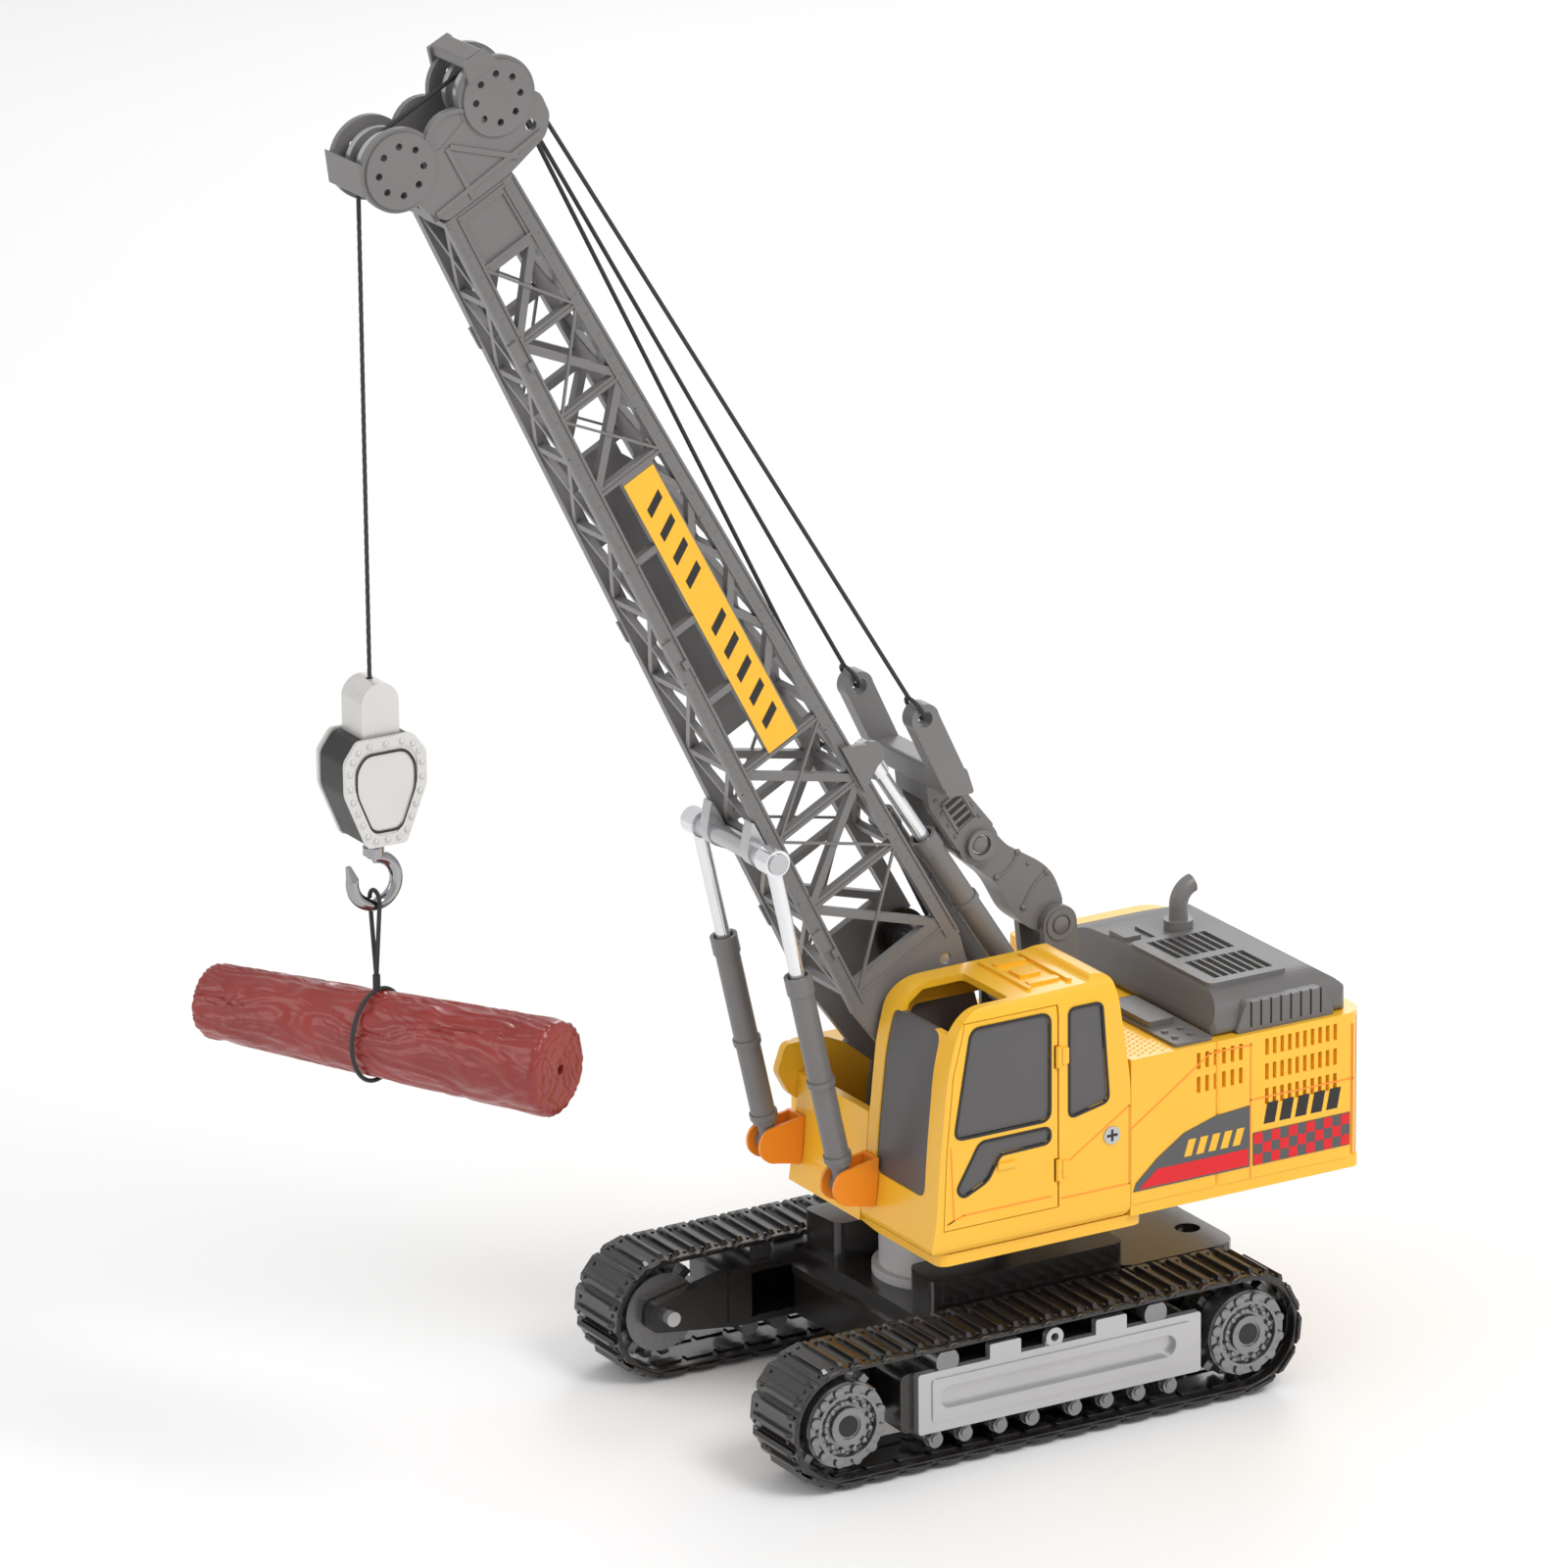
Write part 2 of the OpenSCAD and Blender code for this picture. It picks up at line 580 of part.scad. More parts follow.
// side plate leans inwards so that the boom narrows to its head
module boom_side() color(grey) difference() {
    union() {
        boom_space() rotate([0, -atan(0.0188), 0]) difference() {
            slab_x(half_w(0) - 3, half_w(0)) side_profile();
            slab_x(half_w(0) - 0.7, half_w(0) + 1) polygon([[front_y(335) + 6, 332], [back_y(335) - 6, 332],
                [back_y(348) - 6, 348], [front_y(348) + 6, 348]]);
        }
        // lug for the rear rod
        boom_space() {
            slab_x(15.1, 17.1) union() {
                translate(rear_eye) circle(r = 4.4);
                polygon([rear_eye + [0, -4.4], rear_eye + [0, 4.4], [18, rear_eye[1] + 9], [18, rear_eye[1] - 9]]);
            }
            slab_x(14, 17.1) polygon([[18, rear_eye[1] - 9], [21, rear_eye[1] - 7.6], [21, rear_eye[1] + 7.6],
                [18, rear_eye[1] + 9]]);
            rod_x(rear_eye, 2, 9.2, 16);
        }
    }
    boom_space() rod_x(drum, 2, 0, 30);
    rod_x([luff_y, luff_z], 3.5 + run, 0, 30);
}

module lattice_face(from, to, count) {
    pitch = (to - from) / count;
    for (i = [0:count - 1]) {
        z0 = from + i * pitch;
        z1 = z0 + pitch;
        w0 = half_w(z0) - 3.4;
        w1 = half_w(z1) - 3.4;
        bar([-w0 - 0.7, z0 + 0.5], [w1 + 0.7, z1 - 0.5], 1.8);
        bar([w0 + 0.7, z0 + 0.5], [-w1 - 0.7, z1 - 0.5], 1.8);
        bar([-w0 - 0.7, z0], [w0 + 0.7, z0], 2.6);
    }
    w_top = half_w(to) - 3.4;
    bar([-w_top - 0.7, to], [w_top + 0.7, to], 2.6);
}

module boom_lattice() color(grey) boom_space() intersection() {
    union() {
        translate([0, front_y(0) + 0.6, 0]) rotate([-atan(0.0267), 0, 0]) slab_y(0, 2.2) lattice_face(48, 350, 10);
        translate([0, back_y(0) - 3, 0]) rotate([atan(0.0293), 0, 0]) slab_y(0, 2.2) lattice_face(78, 350, 9);
    }
    // trimmed to the gap between the side plates
    slab_y(-40, 40) polygon([[-half_w(0) + 3.05, 0], [half_w(0) - 3.05, 0], [half_w(380) - 3.05, 380],
        [-half_w(380) + 3.05, 380]]);
}

module boom_label() color(yellow) boom_space() rotate([0, -atan(0.0188), 0])
    slab_x(half_w(0), half_w(0) + 0.3) polygon([[-3.2, 135.4], [8.6, 135.4], [9.2, 242.4], [-2.6, 242.4]]);

module foot_pin() color(silver) rod_x([luff_y, luff_z], 3.5, -19.3, 19.3);

module head_outline() {
    for (y = head_y) translate([y, boom_len]) circle(r = head_r);
    polygon(eased([[-16, 360], [-11, 352], [14, 352], [30, 355], [34.5, 360], [35, 368], [24, 380], [-2, 373],
        [-16, 376]], 2));
}

module head_plates() color(grey) boom_space() {
    for (s = [-1, 1]) slab_x(s * 9.4 - 1.1, s * 9.4 + 1.1) difference() {
        head_outline();
        for (y = head_y) for (i = [0:7])
            translate([y, boom_len]) rotate(i * 45 + 22) translate([7.7, 0]) circle(r = 1.15);
        for (y = head_y) translate([y, boom_len]) circle(r = 2);
        translate([27.4, 361]) circle(r = 1.9);
    }
    // cap over the rear sheave and guard in front of the front one
    slab_x(-10.5, 10.5) polygon(eased([[17.5, 388.6], [25.5, 388.4], [25, 392], [18.5, 392.2]], 1));
    slab_x(-10.5, 10.5) polygon(eased([[-31, 376], [-29.6, 375], [-26, 384.5], [-27.2, 386]], 0.4));
    slab_x(-8.6, 8.6) polygon(eased([[-14, 353], [12, 353], [12, 357], [-14, 357]], 0.6));
}

drum = [15.5, 36];
module boom_axles() color(silver) boom_space() {
    for (y = head_y) rod_x([y, boom_len], 2, -10.8, 10.8);
    rod_x(drum, 2, -16, 16);
}

module sheave() difference() {
    union() {
        rod_x([0, 0], sheave_r + 2, -4.6, -2.2);
        rod_x([0, 0], sheave_r - 0.85, -3, 3);
        rod_x([0, 0], sheave_r + 2, 2.2, 4.6);
        rod_x([0, 0], 4, -7.6, 7.6);
    }
    rod_x([0, 0], 2 + run, -9, 9);
}
module sheave_front() color(silver) boom_space() translate([0, head_y[0], boom_len]) sheave();
module sheave_rear() color(silver) boom_space() translate([0, head_y[1], boom_len]) sheave();

cross_at = to_boom(cross);
module cross_head() color(silver) {
    rod_x(cross, 3.4, -27.5, 27.5);
    boom_space() for (s = [-1, 1]) slab_x(s * 12.6 - 2.4, s * 12.6 + 2.4)
        polygon(eased([cross_at + [3.4, -11], cross_at + [3.4, 11], cross_at + [0, 7], cross_at + [-3.8, 2],
            cross_at + [-3.8, -2], cross_at + [0, -7]], 1.5));
}

drum_r = 7;
module winch_drum() color(dark) boom_space() difference() {
    union() {
        rod_x(drum, drum_r - 0.75, -11.4, 11.4);
        rod_x(drum, drum_r + 2, -11.4, -10);
        rod_x(drum, drum_r + 2, 10, 11.4);
    }
    rod_x(drum, 2 + run, -12, 12);
}

rope_r = 0.7;
module hoist_rope() color("black") boom_space() {
    top = [head_y[1] + sheave_r, boom_len];
    bottom = [drum[0] + drum_r + 0.05, drum[1]];
    rod_yz(0, bottom, top, rope_r);
    // over both sheaves
    translate([0, head_y[1], boom_len]) rotate([90, 0, 90]) rotate_extrude(angle = 90)
        translate([sheave_r, 0]) circle(r = rope_r);
    rod_yz(0, [head_y[0], boom_len + sheave_r], [head_y[1], boom_len + sheave_r], rope_r);
    translate([0, head_y[0], boom_len]) rotate([90, 0, 90]) rotate(90) rotate_extrude(angle = 48)
        translate([sheave_r, 0]) circle(r = rope_r);
}

// ---------------------------------------------------------------- cylinders
front_dir = (cross - lug) / norm(cross - lug);
rear_dir = (rear_end - rear_base) / norm(rear_end - rear_base);
slack = 0.9;

module barrel(x, foot, dir, length, r, rod_r, ring_at) difference() {
    union() {
        rod_yz(x, foot, foot + 8 * dir, 2.9);
        rod_yz(x, foot + 7.4 * dir, foot + length * dir, r);
        for (t = ring_at) rod_yz(x, foot + t * dir, foot + (t + 2) * dir, r + 0.6);
        rod_yz(x, foot + (length - 6) * dir, foot + length * dir, r + 0.5);
        rod_x(foot, 3.4, x - 3.1, x + 3.1);
    }
    rod_yz(x, foot + 11 * dir, foot + (length + 5) * dir, rod_r + slack);
    rod_x(foot, 2 + run, x - 6, x + 6);
}

module front_barrels() color(grey) for (s = [-1, 1])
    barrel(s * front_x, lug, front_dir, 75, 4, 2.4, [9, 36]);
module rear_barrels() color(grey) for (s = [-1, 1])
    barrel(s * rear_x, rear_base, rear_dir, 82, 4, 2.4, [9, 52]);

module front_rods() color("white") for (s = [-1, 1]) difference() {
    union() {
        rod_yz(s * front_x, cross, cross - 72 * front_dir, 2.4);
        rod_x(cross, 4.4, s * front_x - 3.6, s * front_x + 3.6);
    }
    rod_x(cross, 3.4 + run, s * front_x - 6, s * front_x + 6);
}

module rear_rods() color("white") for (s = [-1, 1]) difference() {
    union() {
        rod_yz(s * rear_x, rear_end, rear_end - 82 * rear_dir, 2.4);
        rod_x(rear_end, 3.6, s * rear_x - 2.3, s * rear_x + 2.3);
    }
    rod_x(rear_end, 2 + run, s * rear_x - 6, s * rear_x + 6);
}

// ---------------------------------------------------------------- ropes, hook and load
module pendant_ropes() color("black") for (s = [-1, 1]) {
    base = [s * eye_x, eye[0], eye[1]];
    tip = [s * pendant_top[0], pendant_top[1], pendant_top[2]];
    dir = (tip - base) / norm(tip - base);
    rod_3d(base + 7.8 * dir, tip, rope_r);
    // loop through the eye
    translate(base + 3.8 * dir) rotate([-atan2(dir[1], dir[2]), 0, 0]) rotate([90, 0, 0])
        rotate_extrude() translate([4.1, 0]) circle(r = rope_r);
}

front_sheave = [luff_y + head_y[0] * cos(tilt) - boom_len * sin(tilt),
    luff_z + head_y[0] * sin(tilt) + boom_len * cos(tilt)];
fall_y = front_sheave[0] - sheave_r;
fall_z = front_sheave[1];
lead_z = fall_z - 16;

module rope_lead() color("black") translate([0, fall_y, lead_z]) cylinder(r = rope_r, h = 16 - 0.2);
module rope_fall() color("black") translate([0, fall_y, block_top - 2]) cylinder(r = rope_r, h = lead_z - block_top + 1.8);

shield = [[-6.8, -51.6], [6.8, -51.6], [14.2, -33.6], [14.2, -22.8], [9.6, -16.6], [-9.6, -16.6],
    [-14.2, -22.8], [-14.2, -33.6]];
module hook_block() color(silver) translate([0, fall_y, block_top]) difference() {
    union() {
        slab_x(-8.2, 8.2) polygon(eased([for (p = shield) p * 0.97 + [0, -1]], 1.5));
        slab_x(-9.4, -7.8) polygon(eased(shield, 1.5));
        slab_x(7.8, 9.4) polygon(eased(shield, 1.5));
        slab_x(-6.5, 6.5) union() {
            translate([0, -6.5]) circle(r = 6.5);
            polygon(rect(-6.5, -17.5, 6.5, -6.5));
        }
    }
    for (x = [[-10, -9], [9, 10]]) slab_x(x[0], x[1])
        polygon(eased([[-4, -48], [4, -48], [11, -32], [11, -24], [7.5, -20], [-7.5, -20], [-11, -24], [-11, -32]], 2));
    translate([0, 0, -5]) cylinder(r = 1.2, h = 8);
    translate([0, 0, -60]) cylinder(r = 2.2 + run, h = 16);
}

wire = 2.1;
module hook() color("gainsboro") translate([0, fall_y, block_top]) {
    translate([0, 0, -58]) cylinder(r = 2.2, h = 13.8);
    translate([0, 0, -57]) cylinder(r = 3.4, h = 2.6);
    translate([0, 0, -65.6]) rotate([90, 0, 90]) rotate(-188) rotate_extrude(angle = 278)
        translate([7.7, 0]) circle(r = wire);
    translate([0, -7.6, -64.5]) rotate([16, 0, 0]) cylinder(r1 = wire, r2 = 0.9, h = 5);
}

log_z = block_top - 116;
log_r = [12, 15.5];
sling_r = (log_r[0] + log_r[1]) / 2 + rope_r + 0.12;
knot_z = log_z + sling_r + 5;
module sling() color("black") {
    translate([0, fall_y, log_z]) rotate([0, 0, 28]) rotate([0, 90, 0]) rotate_extrude()
        translate([sling_r, 0]) circle(r = rope_r);
    rod_3d([0, fall_y, log_z + sling_r - 0.2], [0, fall_y, knot_z], 1.2);
    for (s = [-1, 1]) rod_3d([0, fall_y, knot_z - 1], [s * 3.2, fall_y, block_top - 72], rope_r);
    translate([0, fall_y, block_top - 72]) rotate([90, 0, 0]) rotate_extrude(angle = 180)
        translate([3.2, 0]) circle(r = rope_r);
}
module log_load() color("firebrick") translate([0, fall_y, log_z]) rotate([0, 0, 28]) {
    translate([-log_len / 2, 0, 0]) rotate([0, 90, 0]) cylinder(r1 = log_r[0], r2 = log_r[1], h = log_len);
}

chassis_frame();
slew_column();
battery_pack();
battery_door();
track_frame();  // track_frame_left
right_hand() track_frame();  // track_frame_right
track_belt();  // track_belt_left
right_hand() track_belt();  // track_belt_right
side_covers();
track_rollers();
idler_pins();
idler();  // idler_left
right_hand() idler();  // idler_right
sprocket();  // sprocket_left
right_hand() sprocket();  // sprocket_right
drive_motors();
turntable();
body_deck();
body_shell();
cylinder_lugs();
counterweight();
rear_insert();
hood();
louvre_panel();
exhaust_pipe();
cab_shell();
cab_door();
cab_windows();
door_windows();
body_screws();
side_decal();
control_board();
slew_motor();
boom_brackets();
gantry_lower();
gantry_upper();
gantry_knee_pin();
foot_pin();
boom_side();  // boom_side_left
right_hand() boom_side();  // boom_side_right
boom_lattice();
boom_label();
head_plates();
boom_axles();
cross_head();
sheave_front();
sheave_rear();
winch_drum();
hoist_rope();
front_barrels();
front_rods();
rear_barrels();
rear_rods();
pendant_ropes();
rope_lead();
rope_fall();
hook_block();
hook();
sling();
log_load();
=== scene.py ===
"""Toy crawler crane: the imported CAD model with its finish, fine detail, floor, lights and camera."""
import json
import math

import bpy
import bmesh
from mathutils import Matrix, Vector, noise


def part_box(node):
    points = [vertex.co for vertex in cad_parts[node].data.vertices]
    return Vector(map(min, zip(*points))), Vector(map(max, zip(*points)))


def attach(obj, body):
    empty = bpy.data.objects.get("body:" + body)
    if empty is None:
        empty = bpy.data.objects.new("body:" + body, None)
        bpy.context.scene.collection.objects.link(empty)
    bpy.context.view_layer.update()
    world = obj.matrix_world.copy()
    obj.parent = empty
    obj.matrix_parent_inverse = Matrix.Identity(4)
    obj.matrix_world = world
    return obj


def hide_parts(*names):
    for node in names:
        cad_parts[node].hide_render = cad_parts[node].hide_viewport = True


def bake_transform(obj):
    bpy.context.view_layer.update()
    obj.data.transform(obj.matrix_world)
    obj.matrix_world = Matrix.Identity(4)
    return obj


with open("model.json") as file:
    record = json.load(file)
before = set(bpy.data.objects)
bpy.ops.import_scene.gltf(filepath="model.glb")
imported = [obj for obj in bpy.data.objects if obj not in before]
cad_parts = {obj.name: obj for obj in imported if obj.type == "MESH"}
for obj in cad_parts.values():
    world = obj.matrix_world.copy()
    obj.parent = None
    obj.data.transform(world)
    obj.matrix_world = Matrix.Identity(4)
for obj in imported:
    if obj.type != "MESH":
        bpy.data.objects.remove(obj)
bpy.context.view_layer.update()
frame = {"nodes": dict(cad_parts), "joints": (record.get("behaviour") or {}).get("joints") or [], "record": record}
NODES = frame["nodes"]
MM = 0.001

# ------------------------------------------------------------------ camera
AZIMUTH = math.radians(59.425)
ELEVATION = math.radians(18.38)
ROLL = math.radians(-0.579)
DISTANCE = 3.4201
OFFSET_RIGHT, OFFSET_UP = 0.04962, -0.19138
LENS = 242.4

back = Vector((math.sin(AZIMUTH) * math.cos(ELEVATION), -math.cos(AZIMUTH) * math.cos(ELEVATION),
               math.sin(ELEVATION)))
level = Vector((math.cos(AZIMUTH), math.sin(AZIMUTH), 0))
upright = back.cross(level)
cam_right = level * math.cos(ROLL) + upright * math.sin(ROLL)
cam_up = upright * math.cos(ROLL) - level * math.sin(ROLL)
cam_data = bpy.data.cameras.new("camera")
cam_data.lens = LENS
cam_data.sensor_width = 36
cam_data.clip_end = 20
camera = bpy.data.objects.new("camera", cam_data)
bpy.context.scene.collection.objects.link(camera)
place = back * DISTANCE - cam_right * OFFSET_RIGHT - cam_up * OFFSET_UP
camera.matrix_world = Matrix((cam_right, cam_up, back)).transposed().to_4x4()
camera.location = place
bpy.context.scene.camera = camera


# ------------------------------------------------------------------ materials
def srgb(r, g, b):
    """Linear colour from 0-255 screen values."""
    def one(v):
        v /= 255
        return v / 12.92 if v <= 0.04045 else ((v + 0.055) / 1.055) ** 2.4
    return one(r), one(g), one(b), 1


def material(name, low, high, rough=(0.3, 0.4), metallic=0.0, scale=60.0, bump=0.02, fine=900.0, coat=0.0,
             stretch=(1, 1, 1)):
    """Moulded surface: slow colour drift between low and high, mottled roughness and a fine bump."""
    m = bpy.data.materials.new(name)
    m.use_nodes = True
    tree = m.node_tree
    n, link = tree.nodes, tree.links
    shader = n["Principled BSDF"]
    shader.inputs["Metallic"].default_value = metallic
    shader.inputs["Coat Weight"].default_value = coat
    shader.inputs["Coat Roughness"].default_value = 0.12
    where = n.new("ShaderNodeTexCoord")
    mapping = n.new("ShaderNodeMapping")
    mapping.inputs["Scale"].default_value = stretch
    link.new(where.outputs["Object"], mapping.inputs["Vector"])
    drift = n.new("ShaderNodeTexNoise")
    drift.inputs["Scale"].default_value = scale
    drift.inputs["Detail"].default_value = 5
    link.new(mapping.outputs["Vector"], drift.inputs["Vector"])
    tint = n.new("ShaderNodeMix")
    tint.data_type = "RGBA"
    tint.inputs["A"].default_value = low
    tint.inputs["B"].default_value = high
    link.new(drift.outputs["Fac"], tint.inputs["Factor"])
    link.new(tint.outputs["Result"], shader.inputs["Base Color"])
    gloss = n.new("ShaderNodeMapRange")
    gloss.inputs["To Min"].default_value = rough[0]
    gloss.inputs["To Max"].default_value = rough[1]
    link.new(drift.outputs["Fac"], gloss.inputs["Value"])
    link.new(gloss.outputs["Result"], shader.inputs["Roughness"])
    grain = n.new("ShaderNodeTexNoise")
    grain.inputs["Scale"].default_value = fine
    grain.inputs["Detail"].default_value = 3
    link.new(mapping.outputs["Vector"], grain.inputs["Vector"])
    relief = n.new("ShaderNodeBump")
    relief.inputs["Strength"].default_value = bump
    relief.inputs["Distance"].default_value = 0.0004
    link.new(grain.outputs["Fac"], relief.inputs["Height"])
    link.new(relief.outputs["Normal"], shader.inputs["Normal"])
    return m


def log_material():
    """Moulded bark: long wavy grain lines with knots in relief, over a slow drift in tone."""
    m = material("log_red", srgb(122, 34, 30), srgb(156, 54, 48), rough=(0.26, 0.36), scale=70, bump=0.1,
                 coat=0.15)
    tree = m.node_tree
    n, link = tree.nodes, tree.links
    shader = n["Principled BSDF"]
    where = n.new("ShaderNodeTexCoord")
    turn = n.new("ShaderNodeMapping")
    turn.inputs["Rotation"].default_value = (0, 0, -math.radians(28))
    turn.inputs["Scale"].default_value = (0.22, 1.3, 1.3)
    link.new(where.outputs["Object"], turn.inputs["Vector"])
    rings = n.new("ShaderNodeTexNoise")
    rings.inputs["Scale"].default_value = 95
    rings.inputs["Detail"].default_value = 1.2
    rings.inputs["Distortion"].default_value = 0.6
    link.new(turn.outputs["Vector"], rings.inputs["Vector"])
    bands = n.new("ShaderNodeMath")
    bands.operation = "MULTIPLY"
    bands.inputs[1].default_value = 30
    link.new(rings.outputs["Fac"], bands.inputs[0])
    wave = n.new("ShaderNodeMath")
    wave.operation = "SINE"
    link.new(bands.outputs[0], wave.inputs[0])
    relief = n.new("ShaderNodeBump")
    relief.inputs["Strength"].default_value = 0.22
    relief.inputs["Distance"].default_value = 0.0009
    link.new(wave.outputs[0], relief.inputs["Height"])
    old = shader.inputs["Normal"].links[0].from_node
    link.new(relief.outputs["Normal"], old.inputs["Normal"])
    return m


M = {
    "yellow": material("yellow_plastic", srgb(246, 184, 40), srgb(250, 194, 50), rough=(0.26, 0.34), scale=25,
                       bump=0.02, coat=0.25),
    "orange": material("orange_plastic", srgb(246, 140, 30), srgb(250, 150, 40), rough=(0.28, 0.36), scale=25,
                       coat=0.2),
    "grey": material("grey_plastic", srgb(112, 110, 109), srgb(122, 120, 119), rough=(0.3, 0.4), scale=40,
                     bump=0.03),
    "hood": material("hood_grey", srgb(100, 99, 98), srgb(110, 108, 107), rough=(0.4, 0.5), scale=40,
                     bump=0.04),
    "track": material("track_black", srgb(28, 26, 25), srgb(40, 37, 35), rough=(0.16, 0.28), scale=70,
                      bump=0.03,
                      coat=0.4),
    "window": material("window_grey", srgb(80, 78, 78), srgb(90, 88, 88), rough=(0.3, 0.38), scale=20),
    "outline": material("outline_black", srgb(24, 22, 22), srgb(34, 32, 31), rough=(0.35, 0.5), scale=60),
    "silver": material("silver_paint", srgb(182, 182, 184), srgb(200, 200, 202), rough=(0.26, 0.31),
                       metallic=0.7,
                       scale=40, bump=0.004),
    "chrome": material("chrome_white", srgb(226, 227, 230), srgb(240, 241, 243), rough=(0.08, 0.16),
                       metallic=0.75,
                       scale=80, bump=0.0),
    "wheel": material("wheel_metal", srgb(128, 128, 130), srgb(152, 152, 154), rough=(0.2, 0.34),
                      metallic=0.85,
                      scale=120, bump=0.03),
    "block": material("block_silver", srgb(206, 204, 201), srgb(218, 216, 213), rough=(0.24, 0.34),
                      metallic=0.35,
                      scale=60),
    "hook": material("hook_chrome", srgb(150, 150, 152), srgb(176, 176, 178), rough=(0.06, 0.14),
                     metallic=1.0,
                     scale=80, bump=0.0),
    "steel": material("inner_steel", srgb(150, 150, 152), srgb(180, 180, 182), rough=(0.3, 0.5), metallic=1.0,
                      scale=150, stretch=(1, 1, 8)),
    "iron": material("ballast_iron", srgb(60, 58, 56), srgb(92, 88, 84), rough=(0.6, 0.8), metallic=0.6,
                     scale=200,
                     bump=0.3),
    "light": material("column_grey", srgb(176, 176, 178), srgb(192, 192, 194), rough=(0.34, 0.44), scale=40),
    "cord": material("black_cord", srgb(30, 30, 31), srgb(58, 58, 60), rough=(0.6, 0.8), scale=500, bump=0.3,
                     fine=2500),
    "log": log_material(),
    "red": material("decal_red", srgb(214, 0, 14), srgb(230, 4, 22), rough=(0.3, 0.4), scale=30),
    "decal": material("decal_grey", srgb(78, 78, 79), srgb(88, 88, 89), rough=(0.3, 0.4), scale=30),
    "label": material("label_yellow", srgb(244, 182, 40), srgb(248, 190, 50), rough=(0.3, 0.4), scale=30),
    "board": material("board_green", srgb(22, 92, 52), srgb(34, 110, 62), rough=(0.4, 0.5), scale=90),
}

SLOT_LOOK = {
    "yellow_body": "yellow", "orange_trim": "orange", "grey_plastic": "grey", "track_plastic": "track",
    "window_plastic": "window", "silver_paint": "silver", "chrome_pin": "chrome", "steel_inside": "steel",
    "ballast_iron": "iron", "light_plastic": "light", "black_cord": "cord", "red_log": "log",
    "decal_film": "decal", "label_film": "label", "circuit_green": "board",
}
NODE_LOOK = {"idler_left": "wheel", "idler_right": "wheel", "sprocket_left": "wheel",
             "sprocket_right": "wheel",
             "track_rollers": "wheel", "hook_block": "block", "hook": "hook", "hood": "hood",
             "louvre_panel": "hood", "winch_drum": "track"}
BEVEL = {"hood": 0.9, "cab_shell": 0.35, "cab_door": 0.35, "body_shell": 0.5, "body_deck": 0.6,
         "chassis_frame": 0.7, "hook_block": 0.5, "counterweight": 1.0, "gantry_lower": 0.6,
         "gantry_upper": 0.5}
SHARP = {"boom_label", "side_decal", "rope_fall", "rope_lead", "hoist_rope", "pendant_ropes", "sling"}


def soften(obj, width):
    """Rounded edges that catch the light."""
    mod = obj.modifiers.new("Edge", "BEVEL")
    mod.width = width * MM
    mod.segments = 2
    mod.limit_method = "ANGLE"
    mod.angle_limit = math.radians(38)
    mod.harden_normals = False
    mod.use_clamp_overlap = True


slot_of = {s["node"]: s["material_slot"] for s in frame["record"]["subparts"]}
for name, obj in NODES.items():
    look = NODE_LOOK.get(name, SLOT_LOOK[slot_of[name]])
    obj.data.materials.clear()
    obj.data.materials.append(M[look])
    if name not in SHARP:
        soften(obj, BEVEL.get(name, 0.25))


# ------------------------------------------------------------------ mesh helpers (millimetres in, metres out)
def new_piece(name, bm, look, body, smooth=40):
    for v in bm.verts:
        v.co *= MM
    bmesh.ops.recalc_face_normals(bm, faces=bm.faces)
    mesh = bpy.data.meshes.new(name)
    bm.to_mesh(mesh)
    bm.free()
    for p in mesh.polygons:
        p.use_smooth = True
    mesh.set_sharp_from_angle(angle=math.radians(smooth))
    mesh.materials.append(M[look])
    obj = bpy.data.objects.new(name, mesh)
    bpy.context.scene.collection.objects.link(obj)
    if body:
        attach(obj, body)
    return obj


def add_prism(bm, base, top):
    """Closed prism between two equal lists of 3D points."""
    a = [bm.verts.new(p) for p in base]
    b = [bm.verts.new(p) for p in top]
    n = len(a)
    bm.faces.new(a[::-1])
    bm.faces.new(b)
    for i in range(n):
        bm.faces.new((a[i], a[(i + 1) % n], b[(i + 1) % n], b[i]))


def add_slab(bm, axis, outline, lo, hi):
    """Outline in the plane square to axis, extruded from lo to hi."""
    def put(p, h):
        return {"x": (h, p[0], p[1]), "y": (p[0], h, p[1]), "z": (p[0], p[1], h)}[axis]
    add_prism(bm, [put(p, lo) for p in outline], [put(p, hi) for p in outline])


def rounded(points, r, n=4):
    """Outline with each corner eased over the distance r."""
    out = []
    for i, p in enumerate(points):
        v, a, b = Vector(p), Vector(points[i - 1]), Vector(points[(i + 1) % len(points)])
        s = min(r, (a - v).length * 0.48, (b - v).length * 0.48)
        p1, p2 = v + (a - v).normalized() * s, v + (b - v).normalized() * s
        for k in range(n + 1):
            t = k / n
            out.append(tuple((1 - t) ** 2 * p1 + 2 * t * (1 - t) * v + t * t * p2))
    return out


def add_dome(bm, centre, normal, r, h, n=10):
    """Low rounded rivet or bolt head standing on a surface."""
    normal = Vector(normal).normalized()
    side = normal.orthogonal().normalized()
    other = normal.cross(side)
    rings = []
    for k, (rr, hh) in enumerate(((1, 0), (0.92, 0.55), (0.6, 0.9))):
        rings.append([bm.verts.new(Vector(centre) + normal * hh * h
                                   + (side * math.cos(t) + other * math.sin(t)) * rr * r)
                      for t in (math.tau * i / n for i in range(n))])
    tip = bm.verts.new(Vector(centre) + normal * h)
    for a, b in zip(rings, rings[1:]):
        for i in range(n):
            bm.faces.new((a[i], a[(i + 1) % n], b[(i + 1) % n], b[i]))
    for i in range(n):
        bm.faces.new((rings[-1][i], rings[-1][(i + 1) % n], tip))
    bm.faces.new(rings[0][::-1])


